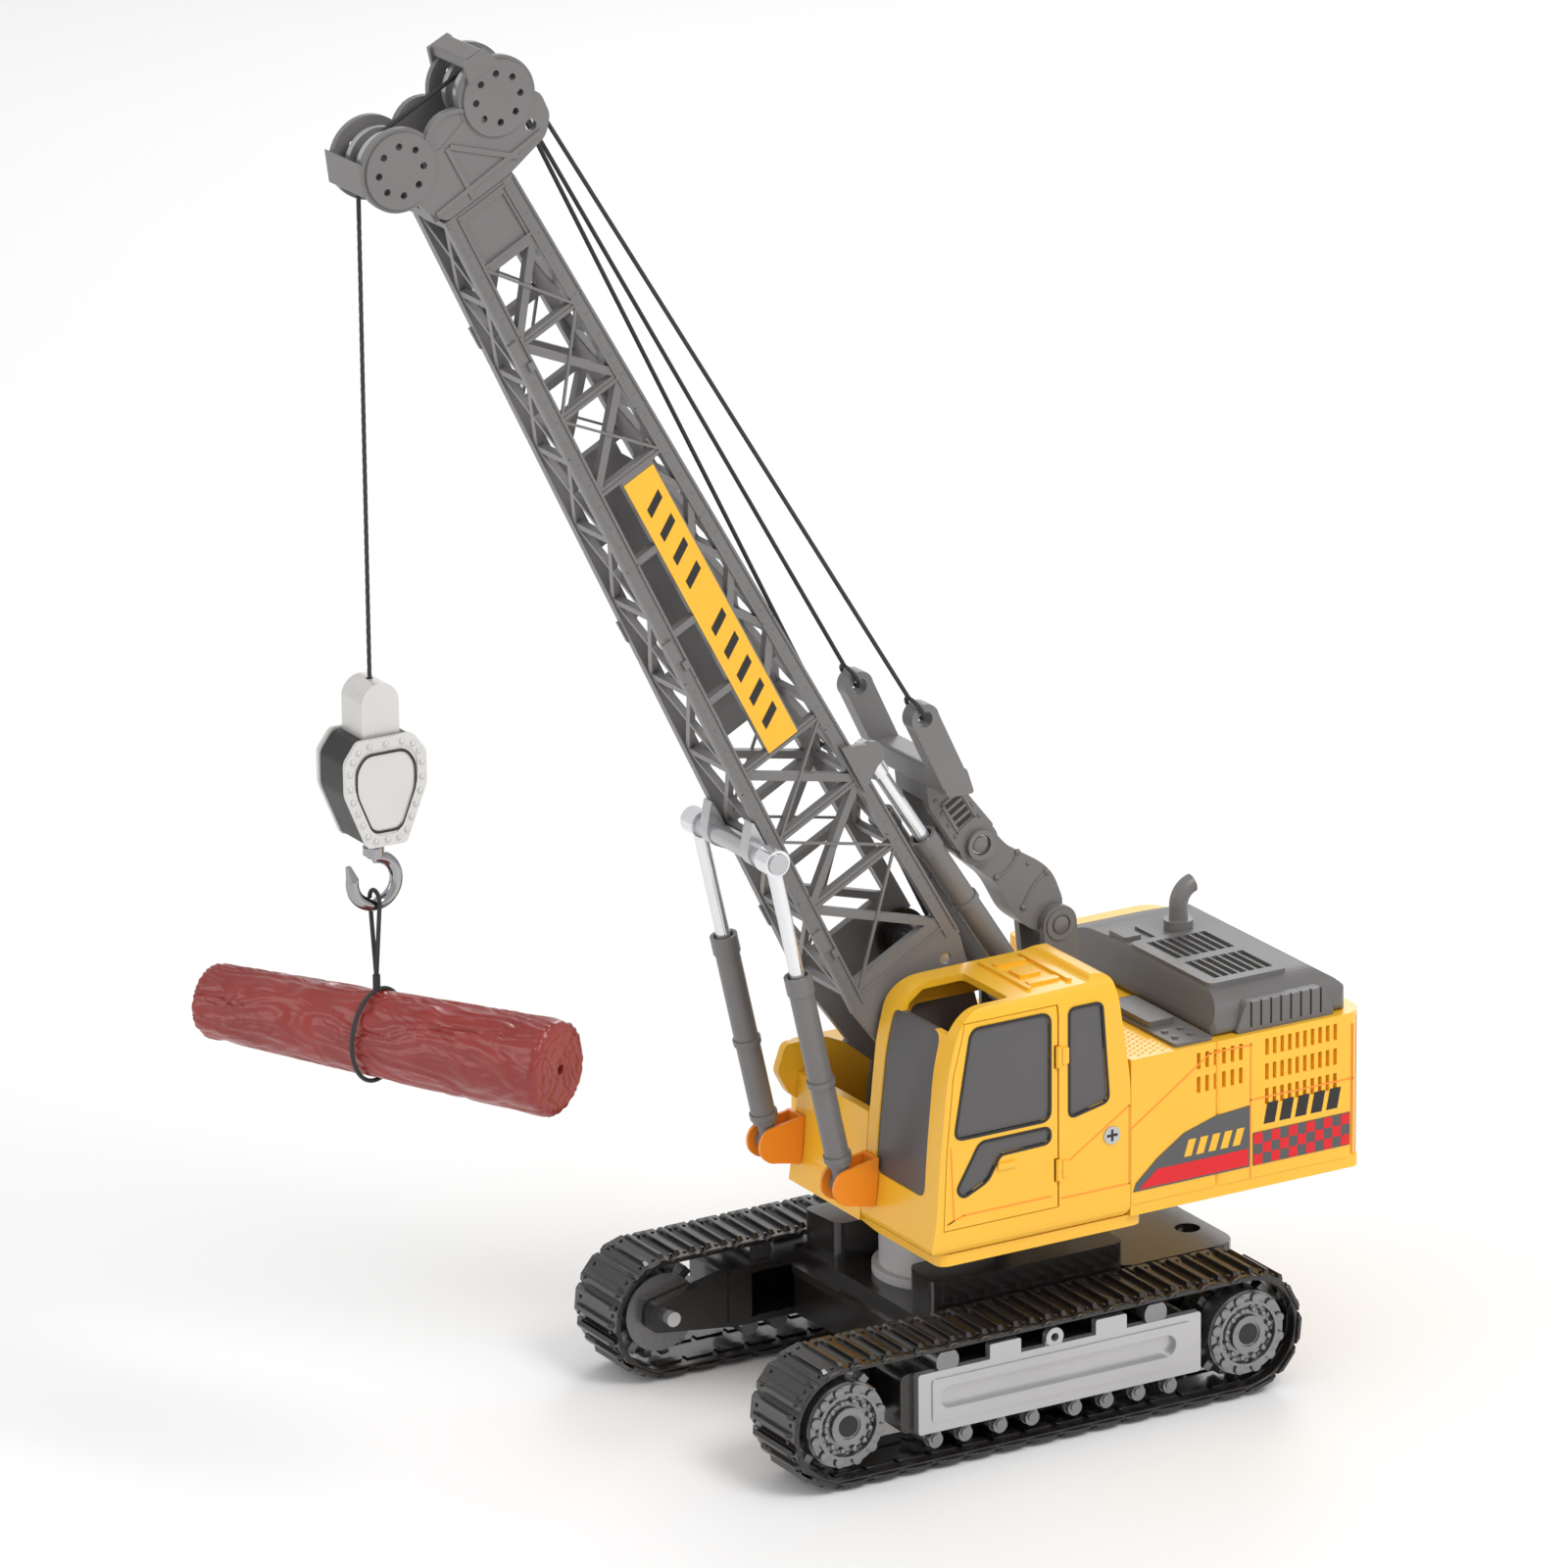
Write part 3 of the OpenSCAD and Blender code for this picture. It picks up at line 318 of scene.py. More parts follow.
def add_tube(bm, path, r, n=8):
    """Round bar along a list of points, with flat ends."""
    path = [Vector(p) for p in path]
    rings = []
    prev = None
    for i, p in enumerate(path):
        d = (path[min(i + 1, len(path) - 1)] - path[max(i - 1, 0)]).normalized()
        side = prev - d * prev.dot(d) if prev is not None else d.orthogonal()
        side.normalize()
        prev = side
        other = d.cross(side)
        radius = r(i / (len(path) - 1)) if callable(r) else r
        rings.append([bm.verts.new(p + (side * math.cos(t) + other * math.sin(t)) * radius)
                      for t in (math.tau * k / n for k in range(n))])
    for a, b in zip(rings, rings[1:]):
        for k in range(n):
            bm.faces.new((a[k], a[(k + 1) % n], b[(k + 1) % n], b[k]))
    bm.faces.new(rings[0][::-1])
    bm.faces.new(rings[-1])


# ------------------------------------------------------------------ tracks
belt_lo, belt_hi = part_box("track_belt_left")
TRACK_IN, TRACK_OUT = belt_lo.x / MM, belt_hi.x / MM
TRACK_R = (belt_hi.z - belt_lo.z) / MM / 2
AXLE_Y = belt_hi.y / MM - TRACK_R
SHOES = 36
PLATE_R = TRACK_R - 1.4
INNER_R = TRACK_R - 4.2


def on_belt(s, r):
    """Point and outward direction at the distance s along a belt line of radius r; s runs 0 to 1."""
    straight, bend = 2 * AXLE_Y, math.pi * r
    s = s % 1 * (2 * straight + 2 * bend)
    if s < straight:
        return (-AXLE_Y + s, TRACK_R + r), math.pi / 2
    s -= straight
    if s < bend:
        a = math.pi / 2 - s / r
        return (AXLE_Y + r * math.cos(a), TRACK_R + r * math.sin(a)), a
    s -= bend
    if s < straight:
        return (AXLE_Y - s, TRACK_R - r), -math.pi / 2
    s -= straight
    a = -math.pi / 2 - s / r
    return (-AXLE_Y + r * math.cos(a), TRACK_R + r * math.sin(a)), a


def make_track(name, node, body, mirror):
    bm = bmesh.new()
    pitch = (4 * AXLE_Y + math.tau * PLATE_R) / SHOES
    for k in range(SHOES):
        (y, z), a = on_belt((k + 0.5) / SHOES, PLATE_R)
        out = Vector((0, math.cos(a), math.sin(a)))
        along = Vector((0, -math.sin(a), math.cos(a)))
        base = Vector((0, y, z))

        def block(x0, x1, s0, s1, h0, h1, chamfer=0.0):
            corners = ((s0, h0), (s1, h0), (s1 - (s1 - s0) * 0.18, h1), (s0 + (s1 - s0) * 0.18, h1))
            lo = [Vector((x0, 0, 0)) + base + along * s + out * h for s, h in corners[:2]]
            lo += [Vector((x0 + chamfer, 0, 0)) + base + along * s + out * h for s, h in corners[2:]]
            hi = [Vector((x1, 0, 0)) + base + along * s + out * h for s, h in corners[:2]]
            hi += [Vector((x1 - chamfer, 0, 0)) + base + along * s + out * h for s, h in corners[2:]]
            add_prism(bm, lo, hi)
        half = pitch * 0.46
        block(TRACK_IN + 0.3, TRACK_OUT - 0.3, -half, half, -1.3, 0)
        block(TRACK_IN + 2.2, TRACK_OUT - 2.2, -half, -half + 2.1, -0.2, TRACK_R - PLATE_R, 1.4)
        block(TRACK_IN + 2.2, TRACK_OUT - 2.2, half * 0.1, half * 0.1 + 2.1, -0.2, TRACK_R - PLATE_R, 1.4)
        # link lumps under the plate and bolt heads on it
        for x0, x1 in ((TRACK_IN + 5, TRACK_IN + 9), (TRACK_OUT - 9, TRACK_OUT - 5)):
            block(x0, x1, -half * 0.95, half * 0.95, PLATE_R * 0 - 2.7, -1.2)
        for x in (TRACK_IN + 3.6, TRACK_OUT - 3.6):
            for s in (-half * 0.28, half * 0.72):
                add_dome(bm, base + along * s + Vector((x, 0, 0)), out, 0.75, 0.6, 8)
        for x0, x1 in ((TRACK_OUT - 0.9, TRACK_OUT), (TRACK_IN, TRACK_IN + 0.9)):
            block(x0, x1, -half * 0.62, half * 0.62, -1.3, -0.2)
    # continuous inner band
    n = 120
    rows = []
    for k in range(n):
        (y, z), a = on_belt(k / n, INNER_R + 1.2)
        out = Vector((0, math.cos(a), math.sin(a)))
        ring = []
        for x, h in ((TRACK_IN + 1, -0.5), (TRACK_OUT - 1, -0.5), (TRACK_OUT - 1, 1.0), (TRACK_IN + 1, 1.0)):
            ring.append(bm.verts.new(Vector((x, y, z)) + out * h))
        rows.append(ring)
    for a, b in zip(rows, rows[1:] + rows[:1]):
        for k in range(4):
            bm.faces.new((a[k], a[(k + 1) % 4], b[(k + 1) % 4], b[k]))
    if mirror:
        bmesh.ops.transform(bm, matrix=Matrix.Scale(-1, 4, (1, 0, 0)), verts=bm.verts)
    for v in bm.verts:
        v.co.z = min(max(v.co.z, 0.0), 2 * TRACK_R)
    piece = new_piece(name, bm, "track", body, smooth=30)
    soften(piece, 0.18)
    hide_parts(node)


make_track("track_shoes_left", "track_belt_left", "undercarriage", False)
make_track("track_shoes_right", "track_belt_right", "undercarriage", True)

# ------------------------------------------------------------------ shared places
JOINT = {j["name"]: Vector(j["pos_m"]) / MM for j in frame["joints"]}
foot, head_front, head_rear = JOINT["luff"], JOINT["front_sheave_spin"], JOINT["rear_sheave_spin"]
ACROSS = (head_rear - head_front).normalized()
UPWARD = Vector((0, -ACROSS.z, ACROSS.y))


def edges(node):
    """Corners of a CAD node in millimetres."""
    lo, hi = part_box(node)
    return lo / MM, hi / MM


def boom(x, y, z):
    """Point in the boom's own frame: y to its back, z up its length."""
    return foot + Vector((x, 0, 0)) + ACROSS * y + UPWARD * z


def front_y(z):
    return -(21.4 - 0.0267 * z)


def back_y(z):
    return 25.2 - 0.0293 * z


def half_w(z):
    return 17.3 - 0.0188 * z


# ------------------------------------------------------------------ boom ribs, clips and label marks
def boom_strip(bm, side, p, q, wide, high):
    """Raised rib on a side plate between two points of the boom's side view."""
    p, q = Vector(p), Vector(q)
    n = Vector((-(q - p).y, (q - p).x)).normalized() * wide / 2
    ends = (p - n, p + n, q + n, q - n)
    base = [boom(side * (half_w(e.y) - 0.3), e.x, e.y) for e in ends]
    mid = sum((Vector(e) for e in ends), Vector((0, 0))) / 4
    top = [boom(side * (half_w(e.y) + high), *(mid + (e - mid) * 0.985)) for e in ends]
    add_prism(bm, base, top)


RUNGS = [332, 303, 274, 245]
LOW_RUNGS = [135, 108, 81, 46]
BOOM_TOP = 351
for side, tag in ((1, "left"), (-1, "right")):
    bm = bmesh.new()
    for z0, z1 in zip(range(42, BOOM_TOP, 44), list(range(86, BOOM_TOP, 44)) + [BOOM_TOP]):
        for inset in (0.45, 4.55):
            boom_strip(bm, side, (front_y(z0) + inset, z0), (front_y(z1) + inset, z1), 0.8, 0.55)
            boom_strip(bm, side, (back_y(z0) - inset, z0), (back_y(z1) - inset, z1), 0.8, 0.55)
    for z in RUNGS + LOW_RUNGS + [BOOM_TOP - 0.6]:
        boom_strip(bm, side, (front_y(z) + 4, z), (back_y(z) - 4, z), 0.8, 0.5)
    for rungs, lead in ((RUNGS, 1), (LOW_RUNGS, 0)):
        for i, (a, b) in enumerate(zip(rungs, rungs[1:])):
            if i % 2 != lead:
                p, q = (front_y(a) + 4, a), (back_y(b) - 4, b)
            else:
                p, q = (back_y(a) - 4, a), (front_y(b) + 4, b)
            boom_strip(bm, side, p, q, 0.8, 0.5)
    for z in (302, 186, 70):
        boom_strip(bm, side, (front_y(z) + 1.2, z - 4), (front_y(z) + 1.2, z + 4), 3.4, 1.1)
        boom_strip(bm, side, (front_y(z) + 3.4, z - 8), (front_y(z) + 3.4, z - 5), 2.2, 0.9)
    for z in range(58, 340, 8):
        for dot in (-1, 1):
            y = front_y(z) + 2.5 if dot < 0 else back_y(z) - 2.5
            add_dome(bm, boom(side * (half_w(z) - 0.1), y, z), (side, 0, 0), 0.42, 0.35, 8)
    new_piece(f"boom_ribs_{tag}", bm, "grey", "boom", smooth=30)

bm = bmesh.new()
LABEL_Z = (142, 236)
BARS = 10
for side in (1, -1):
    for k in range(BARS):
        if k == 5:
            continue
        z = LABEL_Z[0] + (k + 0.5) * (LABEL_Z[1] - LABEL_Z[0]) / BARS
        y = 2.9 + 0.006 * (z - 135)
        pts = [(y - 3.2, z - 3.4), (y - 3.2, z - 0.2), (y + 3.2, z + 3.4), (y + 3.2, z + 0.2)]
        if side < 0:
            continue
        base = [boom(side * (half_w(c[1]) + 0.2), *c) for c in pts]
        top = [boom(side * (half_w(c[1]) + 0.42), *c) for c in pts]
        add_prism(bm, base, top)
new_piece("label_bars", bm, "outline", "boom")


def washer(bm, centre, side, inner, outer, high, n=28):
    """Raised ring on a face square to X."""
    rows = []
    for r, h in ((outer, 0), (outer, high), (inner, high), (inner, 0)):
        rows.append([bm.verts.new(centre + Vector((side * h, r * math.cos(t), r * math.sin(t))))
                     for t in (math.tau * i / n for i in range(n))])
    for a, b in zip(rows, rows[1:]):
        for i in range(n):
            bm.faces.new((a[i], a[(i + 1) % n], b[(i + 1) % n], b[i]))


# ------------------------------------------------------------------ head: disc bosses, web ribs
def holed_disc(bm, centre, side, r, low, high, turn, hole_at=7.7, hole_r=1.15):
    """Flat disc square to X with eight round holes; each eighth is one ring of faces round its hole."""
    def at(h, y, z):
        return bm.verts.new(centre + Vector((side * h, y, z)))
    for k in range(8):
        mid = math.radians(45 * k) + turn
        c = Vector((hole_at, 0))
        arc = [Vector((r * math.cos(t), r * math.sin(t)))
               for t in (math.radians(-22.5 + 5.625 * i) for i in range(9))]
        down = [arc[8] * (1 - i / 8) for i in range(1, 8)]
        up = [arc[0] * (i / 8) for i in range(0, 8)]
        outline = arc + down + up
        cos, sin = math.cos(mid), math.sin(mid)
        outer, inner, deep = [], [], []
        for q in outline:
            d = (q - c).normalized() * hole_r + c
            outer.append(at(high, q.x * cos - q.y * sin, q.x * sin + q.y * cos))
            inner.append(at(high, d.x * cos - d.y * sin, d.x * sin + d.y * cos))
            deep.append(at(low, d.x * cos - d.y * sin, d.x * sin + d.y * cos))
        n = len(outline)
        for i in range(n):
            j = (i + 1) % n
            bm.faces.new((outer[i], outer[j], inner[j], inner[i]))
            bm.faces.new((inner[i], inner[j], deep[j], deep[i]))
        rim = [at(low, q.x * cos - q.y * sin, q.x * sin + q.y * cos) for q in arc]
        for i in range(8):
            bm.faces.new((rim[i], rim[i + 1], outer[i + 1], outer[i]))


bm = bmesh.new()
HEAD_TURN = math.radians(22 + 28)
WEB_X, RIM_X, DISC_X, CAP_X = 10.3, 11.0, 11.4, 11.9
for side in (1, -1):
    for centre in (head_front, head_rear):
        holed_disc(bm, centre, side, 11.9, WEB_X, DISC_X, HEAD_TURN)
    for k, (p, q) in enumerate((((0, 353), (0, 372)), ((1, 372), (19, 355)), ((-13, 356), (29, 357.4)))):
        d = (Vector(q) - Vector(p)).normalized() * 0.8
        n = Vector((-d.y, d.x))
        ends = (Vector(p) - n, Vector(p) + n, Vector(q) + n, Vector(q) - n)
        add_prism(bm, [boom(side * WEB_X, *e) for e in ends],
                  [boom(side * (RIM_X + 0.07 * k), *e) for e in ends])
    cap = [(15.6, 385.4), (17.4, 392), (25.4, 391.8), (27.6, 385.4)]
    add_prism(bm, [boom(side * WEB_X, *e) for e in cap], [boom(side * CAP_X, *e) for e in cap])
    # arched rim that fills the dip between the two discs
    low = [(-9 + 2.2 * i, 371) for i in range(12)]
    arch = [(y, 371 + 11.5 * math.sin(math.pi * (0.12 + 0.76 * i / 11))) for i, (y, _) in enumerate(low)]
    for (p0, p1), (q0, q1) in zip(zip(low, low[1:]), zip(arch, arch[1:])):
        ends = (p0, p1, q1, q0)
        add_prism(bm, [boom(side * 8.5, *e) for e in ends], [boom(side * WEB_X, *e) for e in ends])
        rim = (q0, q1, (q1[0], q1[1] - 1.5), (q0[0], q0[1] - 1.5))
        add_prism(bm, [boom(side * WEB_X, *e) for e in rim], [boom(side * RIM_X, *e) for e in rim])
new_piece("head_bosses", bm, "grey", "boom")

# ------------------------------------------------------------------ wheel faces: rim, bolts, dark hub disc of painted shade
for hand, side in (("left", 1), ("right", -1)):
    for kind in ("idler", "sprocket"):
        lo, hi = edges(kind + "_" + hand)
        axle = JOINT[hand + "_" + kind + "_spin"]
        wheel_r = (hi.z - lo.z) / 2 - 2.6
        face = Vector((hi.x if side > 0 else lo.x, axle.y, axle.z)) - Vector((side * 0.1, 0, 0))
        bm = bmesh.new()
        washer(bm, face, side, wheel_r * 0.30, wheel_r * 0.44, 0.7, 40)
        washer(bm, face, side, wheel_r * 0.72, wheel_r * 0.79, 0.5, 40)
        for k in range(12):
            t = math.tau * (k + 0.5) / 12
            out = Vector((0, math.cos(t), math.sin(t))) * wheel_r
            add_dome(bm, face + out * 0.58, (side, 0, 0), 1.0, 0.8, 10)
            add_dome(bm, face + out * 0.86, (side, 0, 0), 1.9, 0.7, 12)
        new_piece(kind + "_face_" + hand, bm, "wheel", hand + "_" + kind)
        # dark disc at the wheel centre: painted shade standing for the shadow inside the hub recess
        bm = bmesh.new()
        add_dome(bm, face, (side, 0, 0), wheel_r * 0.27, 0.25, 24)
        new_piece(kind + "_hub_painted_shade_" + hand, bm, "outline", hand + "_" + kind)

# ------------------------------------------------------------------ gantry: rivets, grille with dark slots of painted shade, pin rings
knee, gantry_foot = JOINT["upper_link_tilt"], JOINT["lower_link_tilt"]


bm = bmesh.new()
slot_shade = bmesh.new()
lean = Vector((0, -0.52, 0.854))
flat = Vector((0, 0.854, 0.52))
for side in (1, -1):
    face = knee + Vector((side * 9.75, 0, 0))
    washer(bm, face, side, 3.4, 5.0, 2.0)
    for along in (8, 13, 18, 23):
        for off in (-5.4, 5.4):
            add_dome(bm, face + lean * along + flat * off * (1 - along * 0.004), (side, 0, 0), 0.8, 0.6, 10)
    for k in range(4):
        # dark plates in the grille slots: painted shade of the openings
        c = face + lean * (10.5 + 2.7 * k)
        pts = [c + flat * a + lean * b for a, b in ((-3.0, -0.8), (3.0, -0.8), (3.0, 0.8), (-3.0, 0.8))]
        add_prism(slot_shade, [p - Vector((side * 0.3, 0, 0)) for p in pts],
                  [p + Vector((side * 0.12, 0, 0)) for p in pts])
    for off in (-3.9, 3.9):
        pts = [face + flat * a + lean * b for a, b in ((off - 0.4, 8.8), (off + 0.4, 8.8), (off + 0.4, 20.4),
                                                       (off - 0.4, 20.4))]
        add_prism(bm, [p - Vector((side * 0.2, 0, 0)) for p in pts],
                  [p + Vector((side * 0.6, 0, 0)) for p in pts])
    for b in (8.6, 20.4):
        bar = ((-4.3, -0.4), (4.3, -0.4), (4.3, 0.4), (-4.3, 0.4))
        pts = [face + flat * a + lean * (b + c) for a, c in bar]
        add_prism(bm, [p - Vector((side * 0.2, 0, 0)) for p in pts],
                  [p + Vector((side * 0.6, 0, 0)) for p in pts])
new_piece("gantry_rivets", bm, "grey", "upper_link")
new_piece("gantry_slot_painted_shade", slot_shade, "outline", "upper_link")

bm = bmesh.new()
for side in (1, -1):
    add_dome(bm, knee + Vector((side * 10.4, 0, 0)), (side, 0, 0), 2.9, 1.3, 24)
new_piece("gantry_knee_caps", bm, "grey", "lower_link")
bm = bmesh.new()
for side in (1, -1):
    add_dome(bm, gantry_foot + Vector((side * 9.1, 0, 0)), (side, 0, 0), 2.9, 1.3, 24)
    washer(bm, gantry_foot + Vector((side * 9.1, 0, 0)), side, 3.5, 5.2, 0.7)
new_piece("gantry_foot_caps", bm, "grey", "upper")

# curved beaded ribs on the side faces of the humped lower link
bm = bmesh.new()
for side in (1, -1):
    for p, mid, q in (((19.5, 168.5), (25.5, 170), (27.5, 175.6)), ((29.5, 156.5), (33, 164.5), (38.4, 167))):
        path = []
        for k in range(11):
            t = k / 10
            y, z = ((1 - t) ** 2 * p[i] + 2 * t * (1 - t) * mid[i] + t * t * q[i] for i in (0, 1))
            path.append(Vector((side * 5.85, y, z)))
        add_tube(bm, path, 0.55, 8)
        add_dome(bm, path[-1], (side, 0, 0), 1.1, 0.9, 10)
        add_dome(bm, path[0], (side, 0, 0), 1.1, 0.9, 10)
    add_dome(bm, Vector((side * 5.8, 31.5, 171)), (side, 0, 0), 0.8, 0.7, 10)
new_piece("gantry_hump_ribs", bm, "grey", "lower_link")

# ------------------------------------------------------------------ cab and body: seams, frames, decals
SKIN_X = edges("side_decal")[0].x
DECAL_X = edges("side_decal")[1].x
TOP = edges("body_shell")[1].z


def side_line(bm, points, wide, x=SKIN_X, high=0.12):
    """Thin strip on the cab-side skin through points (y, z)."""
    for p, q in zip(points, points[1:]):
        p, q = Vector(p), Vector(q)
        d = (q - p).normalized()
        n = Vector((-d.y, d.x)) * wide / 2
        ring = (p - n - d * wide / 2, q - n + d * wide / 2, q + n + d * wide / 2, p + n - d * wide / 2)
        add_prism(bm, [(x - 0.2, *c) for c in ring], [(x + high, *c) for c in ring])


def side_patch(bm, outline, x0, x1):
    add_slab(bm, "x", outline, x0, x1)


bm = bmesh.new()
side_line(bm, [(79.5, 72.5), (79.5, TOP - 3)], 0.5)
side_line(bm, [(79.5, 98.7), (118.6, 98.7)], 0.5)
side_line(bm, [(118.6, 73), (118.6, TOP - 4)], 0.5)
side_line(bm, [(34.6, 98), (64, 117.5), (79.5, 117.5)], 0.5)
side_line(bm, [(8.2, 79.5), (33.5, 79.5), (33.5, 106), (8.2, 90)], 0.45)
new_piece("body_seams", bm, "orange", "upper", smooth=30)
bm = bmesh.new()
side_line(bm, [(-34.5, 79), (-28.5, 81), (4, 81)], 0.45)
side_line(bm, [(-33, 104.2), (-32, 80), (-34, 79)], 0.45)
new_piece("door_seams", bm, "orange", "door", smooth=30)

DOOR_GLASS = [(-31.2, 107.2), (3.4, 107.2), (3.4, 142.2), (-25, 142.2)]
REAR_GLASS = [(11.4, 106.5), (25.3, 109.4), (22.8, 142.2), (11.4, 142.2)]
LOW_GLASS = [(-30.4, 89.8), (-28.5, 87.4), (-19.7, 91.3), (-15, 99.2), (3.4, 99.6), (3.4, 104), (-22, 104)]


def window_frame(bm, outline, ease, wide=0.9):
    """Dark gasket round a window on the cab side."""
    inner = rounded(outline, ease, 5)
    n = len(inner)
    outer = []
    for i, p in enumerate(inner):
        a, b = Vector(inner[i - 1]), Vector(inner[(i + 1) % n])
        d = b - a
        out = Vector((d.y, -d.x)).normalized() if d.length > 1e-6 else Vector((0, 0))
        outer.append((Vector(p) + out * wide, Vector(p)))
    area = sum(inner[i - 1][0] * inner[i][1] - inner[i][0] * inner[i - 1][1] for i in range(n))
    flip = 1 if area > 0 else -1
    rows = [[], [], [], []]
    for o, p in outer:
        o = p + (o - p) * flip
        profile = ((o, SKIN_X - 0.1), (o, SKIN_X + 0.25), (p, SKIN_X + 0.25), (p, SKIN_X - 1.2))
        for row, (q, x) in zip(rows, profile):
            row.append(bm.verts.new((x, q.x, q.y)))
    for a, b in zip(rows, rows[1:]):
        for i in range(n):
            bm.faces.new((a[i], a[(i + 1) % n], b[(i + 1) % n], b[i]))


bm = bmesh.new()
window_frame(bm, DOOR_GLASS, 3)
window_frame(bm, LOW_GLASS, 2)
new_piece("door_gaskets", bm, "outline", "door")
bm = bmesh.new()
window_frame(bm, REAR_GLASS, 2)
new_piece("cab_gasket", bm, "outline", "upper")

# door handle and hinge leaves
bm = bmesh.new()
add_slab(bm, "x", rounded([(-16, 94), (-9, 94), (-9, 96), (-16, 96)], 0.8), SKIN_X - 0.2, SKIN_X + 0.9)
new_piece("door_handle", bm, "yellow", "door")
bm = bmesh.new()
for z in (86.6, 124.6):
    leaf = rounded([(8.2, z), (10.6, z), (10.6, z + 5.6), (8.2, z + 5.6)], 0.6)
    add_slab(bm, "x", leaf, SKIN_X - 0.2, SKIN_X + 0.6)
new_piece("hinge_leaves", bm, "yellow", "upper")

# decal: red bar, plain slanted blocks and a checkered band
FILM = 0.06
dl = edges("side_decal")[0]
bm = bmesh.new()
side_patch(bm, [(37, dl.z + 0.6), (78.4, dl.z + 0.6), (78.4, dl.z + 6.2), (44, dl.z + 6.2)],
           DECAL_X - 0.1, DECAL_X + FILM)
CELL_ROWS, CELL_COLS = 3, 11
band = (80.6, 117.3, dl.z + 0.2, dl.z + 10.9)
for row in range(CELL_ROWS):
    for col in range(CELL_COLS):
        if (row + col) % 2:
            continue
        w, h = (band[1] - band[0]) / CELL_COLS, (band[3] - band[2]) / CELL_ROWS
        y, z = band[0] + col * w, band[2] + row * h
        side_patch(bm, [(y, z), (y + w, z), (y + w, z + h), (y, z + h)], DECAL_X - 0.1, DECAL_X + FILM)
new_piece("decal_red_marks", bm, "red", "upper")
bm = bmesh.new()
for k in range(5):
    y = 54 + 4.6 * k
    z = dl.z + 8.2
    side_patch(bm, [(y, z), (y + 2.8, z), (y + 4.6, z + 5.6), (y + 1.8, z + 5.6)],
               DECAL_X - 0.1, DECAL_X + FILM)
new_piece("decal_yellow_marks", bm, "label", "upper")
bm = bmesh.new()
for k in range(5):
    y = 84.5 + 6 * k
    side_patch(bm, [(y, 89.6), (y + 4.2, 89.6), (y + 5.6, 96.6), (y + 1.4, 96.6)], SKIN_X - 0.1, SKIN_X + 0.1)
new_piece("decal_dark_marks", bm, "outline", "upper")

# cross slot of the big screw, drawn as a dark cross: painted shade of the slot
bm = bmesh.new()
screw_x = edges("body_screws")[1].x
SCREW_YZ = (26.8, 97.2)
for w, h in ((2.0, 0.45), (0.45, 2.0)):
    y, z = SCREW_YZ
    add_slab(bm, "x", [(y - w, z - h), (y + w, z - h), (y + w, z + h), (y - w, z + h)],
             screw_x - 0.3, screw_x + 0.02 + 0.02 * w)
new_piece("screw_slot_painted_shade", bm, "outline", "upper")

# white caps where the rear rods meet the boom
bm = bmesh.new()
rod_top = JOINT["rear_rod_tilt"]
rod_foot = JOINT["rear_barrel_tilt"]
run_dir = Vector((0, rod_top.y - rod_foot.y, rod_top.z - rod_foot.z)).normalized()
for side in (1, -1):
    top = Vector((side * 12.6, rod_top.y, rod_top.z)) - run_dir * 3.6
    add_tube(bm, [top, top - run_dir * 1.6], 3.7, 24)
    add_tube(bm, [top - run_dir * 1.4, top - run_dir * 6], 3.2, 24)
new_piece("rear_rod_caps", bm, "chrome", "rear_cylinder_rods")

# tread pattern on the deck, roof rails on the cab
bm = bmesh.new()
for i in range(15):
    for j in range(7):
        x, y = 24 + i * 2.5 + (j % 2) * 1.25, 36.5 + j * 2.2
        c = [(x - 0.75, y), (x, y - 0.75), (x + 0.75, y), (x, y + 0.75)]
        add_prism(bm, [(*p, TOP - 0.05) for p in c],
                  [(x + (p[0] - x) * 0.5, y + (p[1] - y) * 0.5, TOP + 0.32) for p in c])
new_piece("deck_tread", bm, "yellow", "upper", smooth=10)
bm = bmesh.new()
ROOF_RIBS = ((26, 56, 0, 1.6), (26, 56, 15, 16.6), (30, 33, 2.5, 14), (50, 53, 2.5, 14), (38, 45, 4, 12))
for x0, x1, y0, y1 in ROOF_RIBS:
    z0 = 147.6 + 0.02 * (y0 + 20)
    add_slab(bm, "z", rounded([(x0, y0), (x1, y0), (x1, y1), (x0, y1)], 0.7), z0, z0 + 1.7)
new_piece("roof_ribs", bm, "yellow", "upper")

# ------------------------------------------------------------------ hook block: rivets and dark core
block_hi = edges("hook_block")[1]
rope_y = JOINT["rope_swing"].y
block_top = JOINT["hoist"].z
SHIELD = [(-6.8, -51.6), (6.8, -51.6), (14.2, -33.6), (14.2, -22.8), (9.6, -16.6), (-9.6, -16.6),
          (-14.2, -22.8), (-14.2, -33.6)]


def at_block(p, scale=1.0):
    middle = -34.1
    return rope_y + p[0] * scale, block_top + middle + (p[1] - middle) * scale


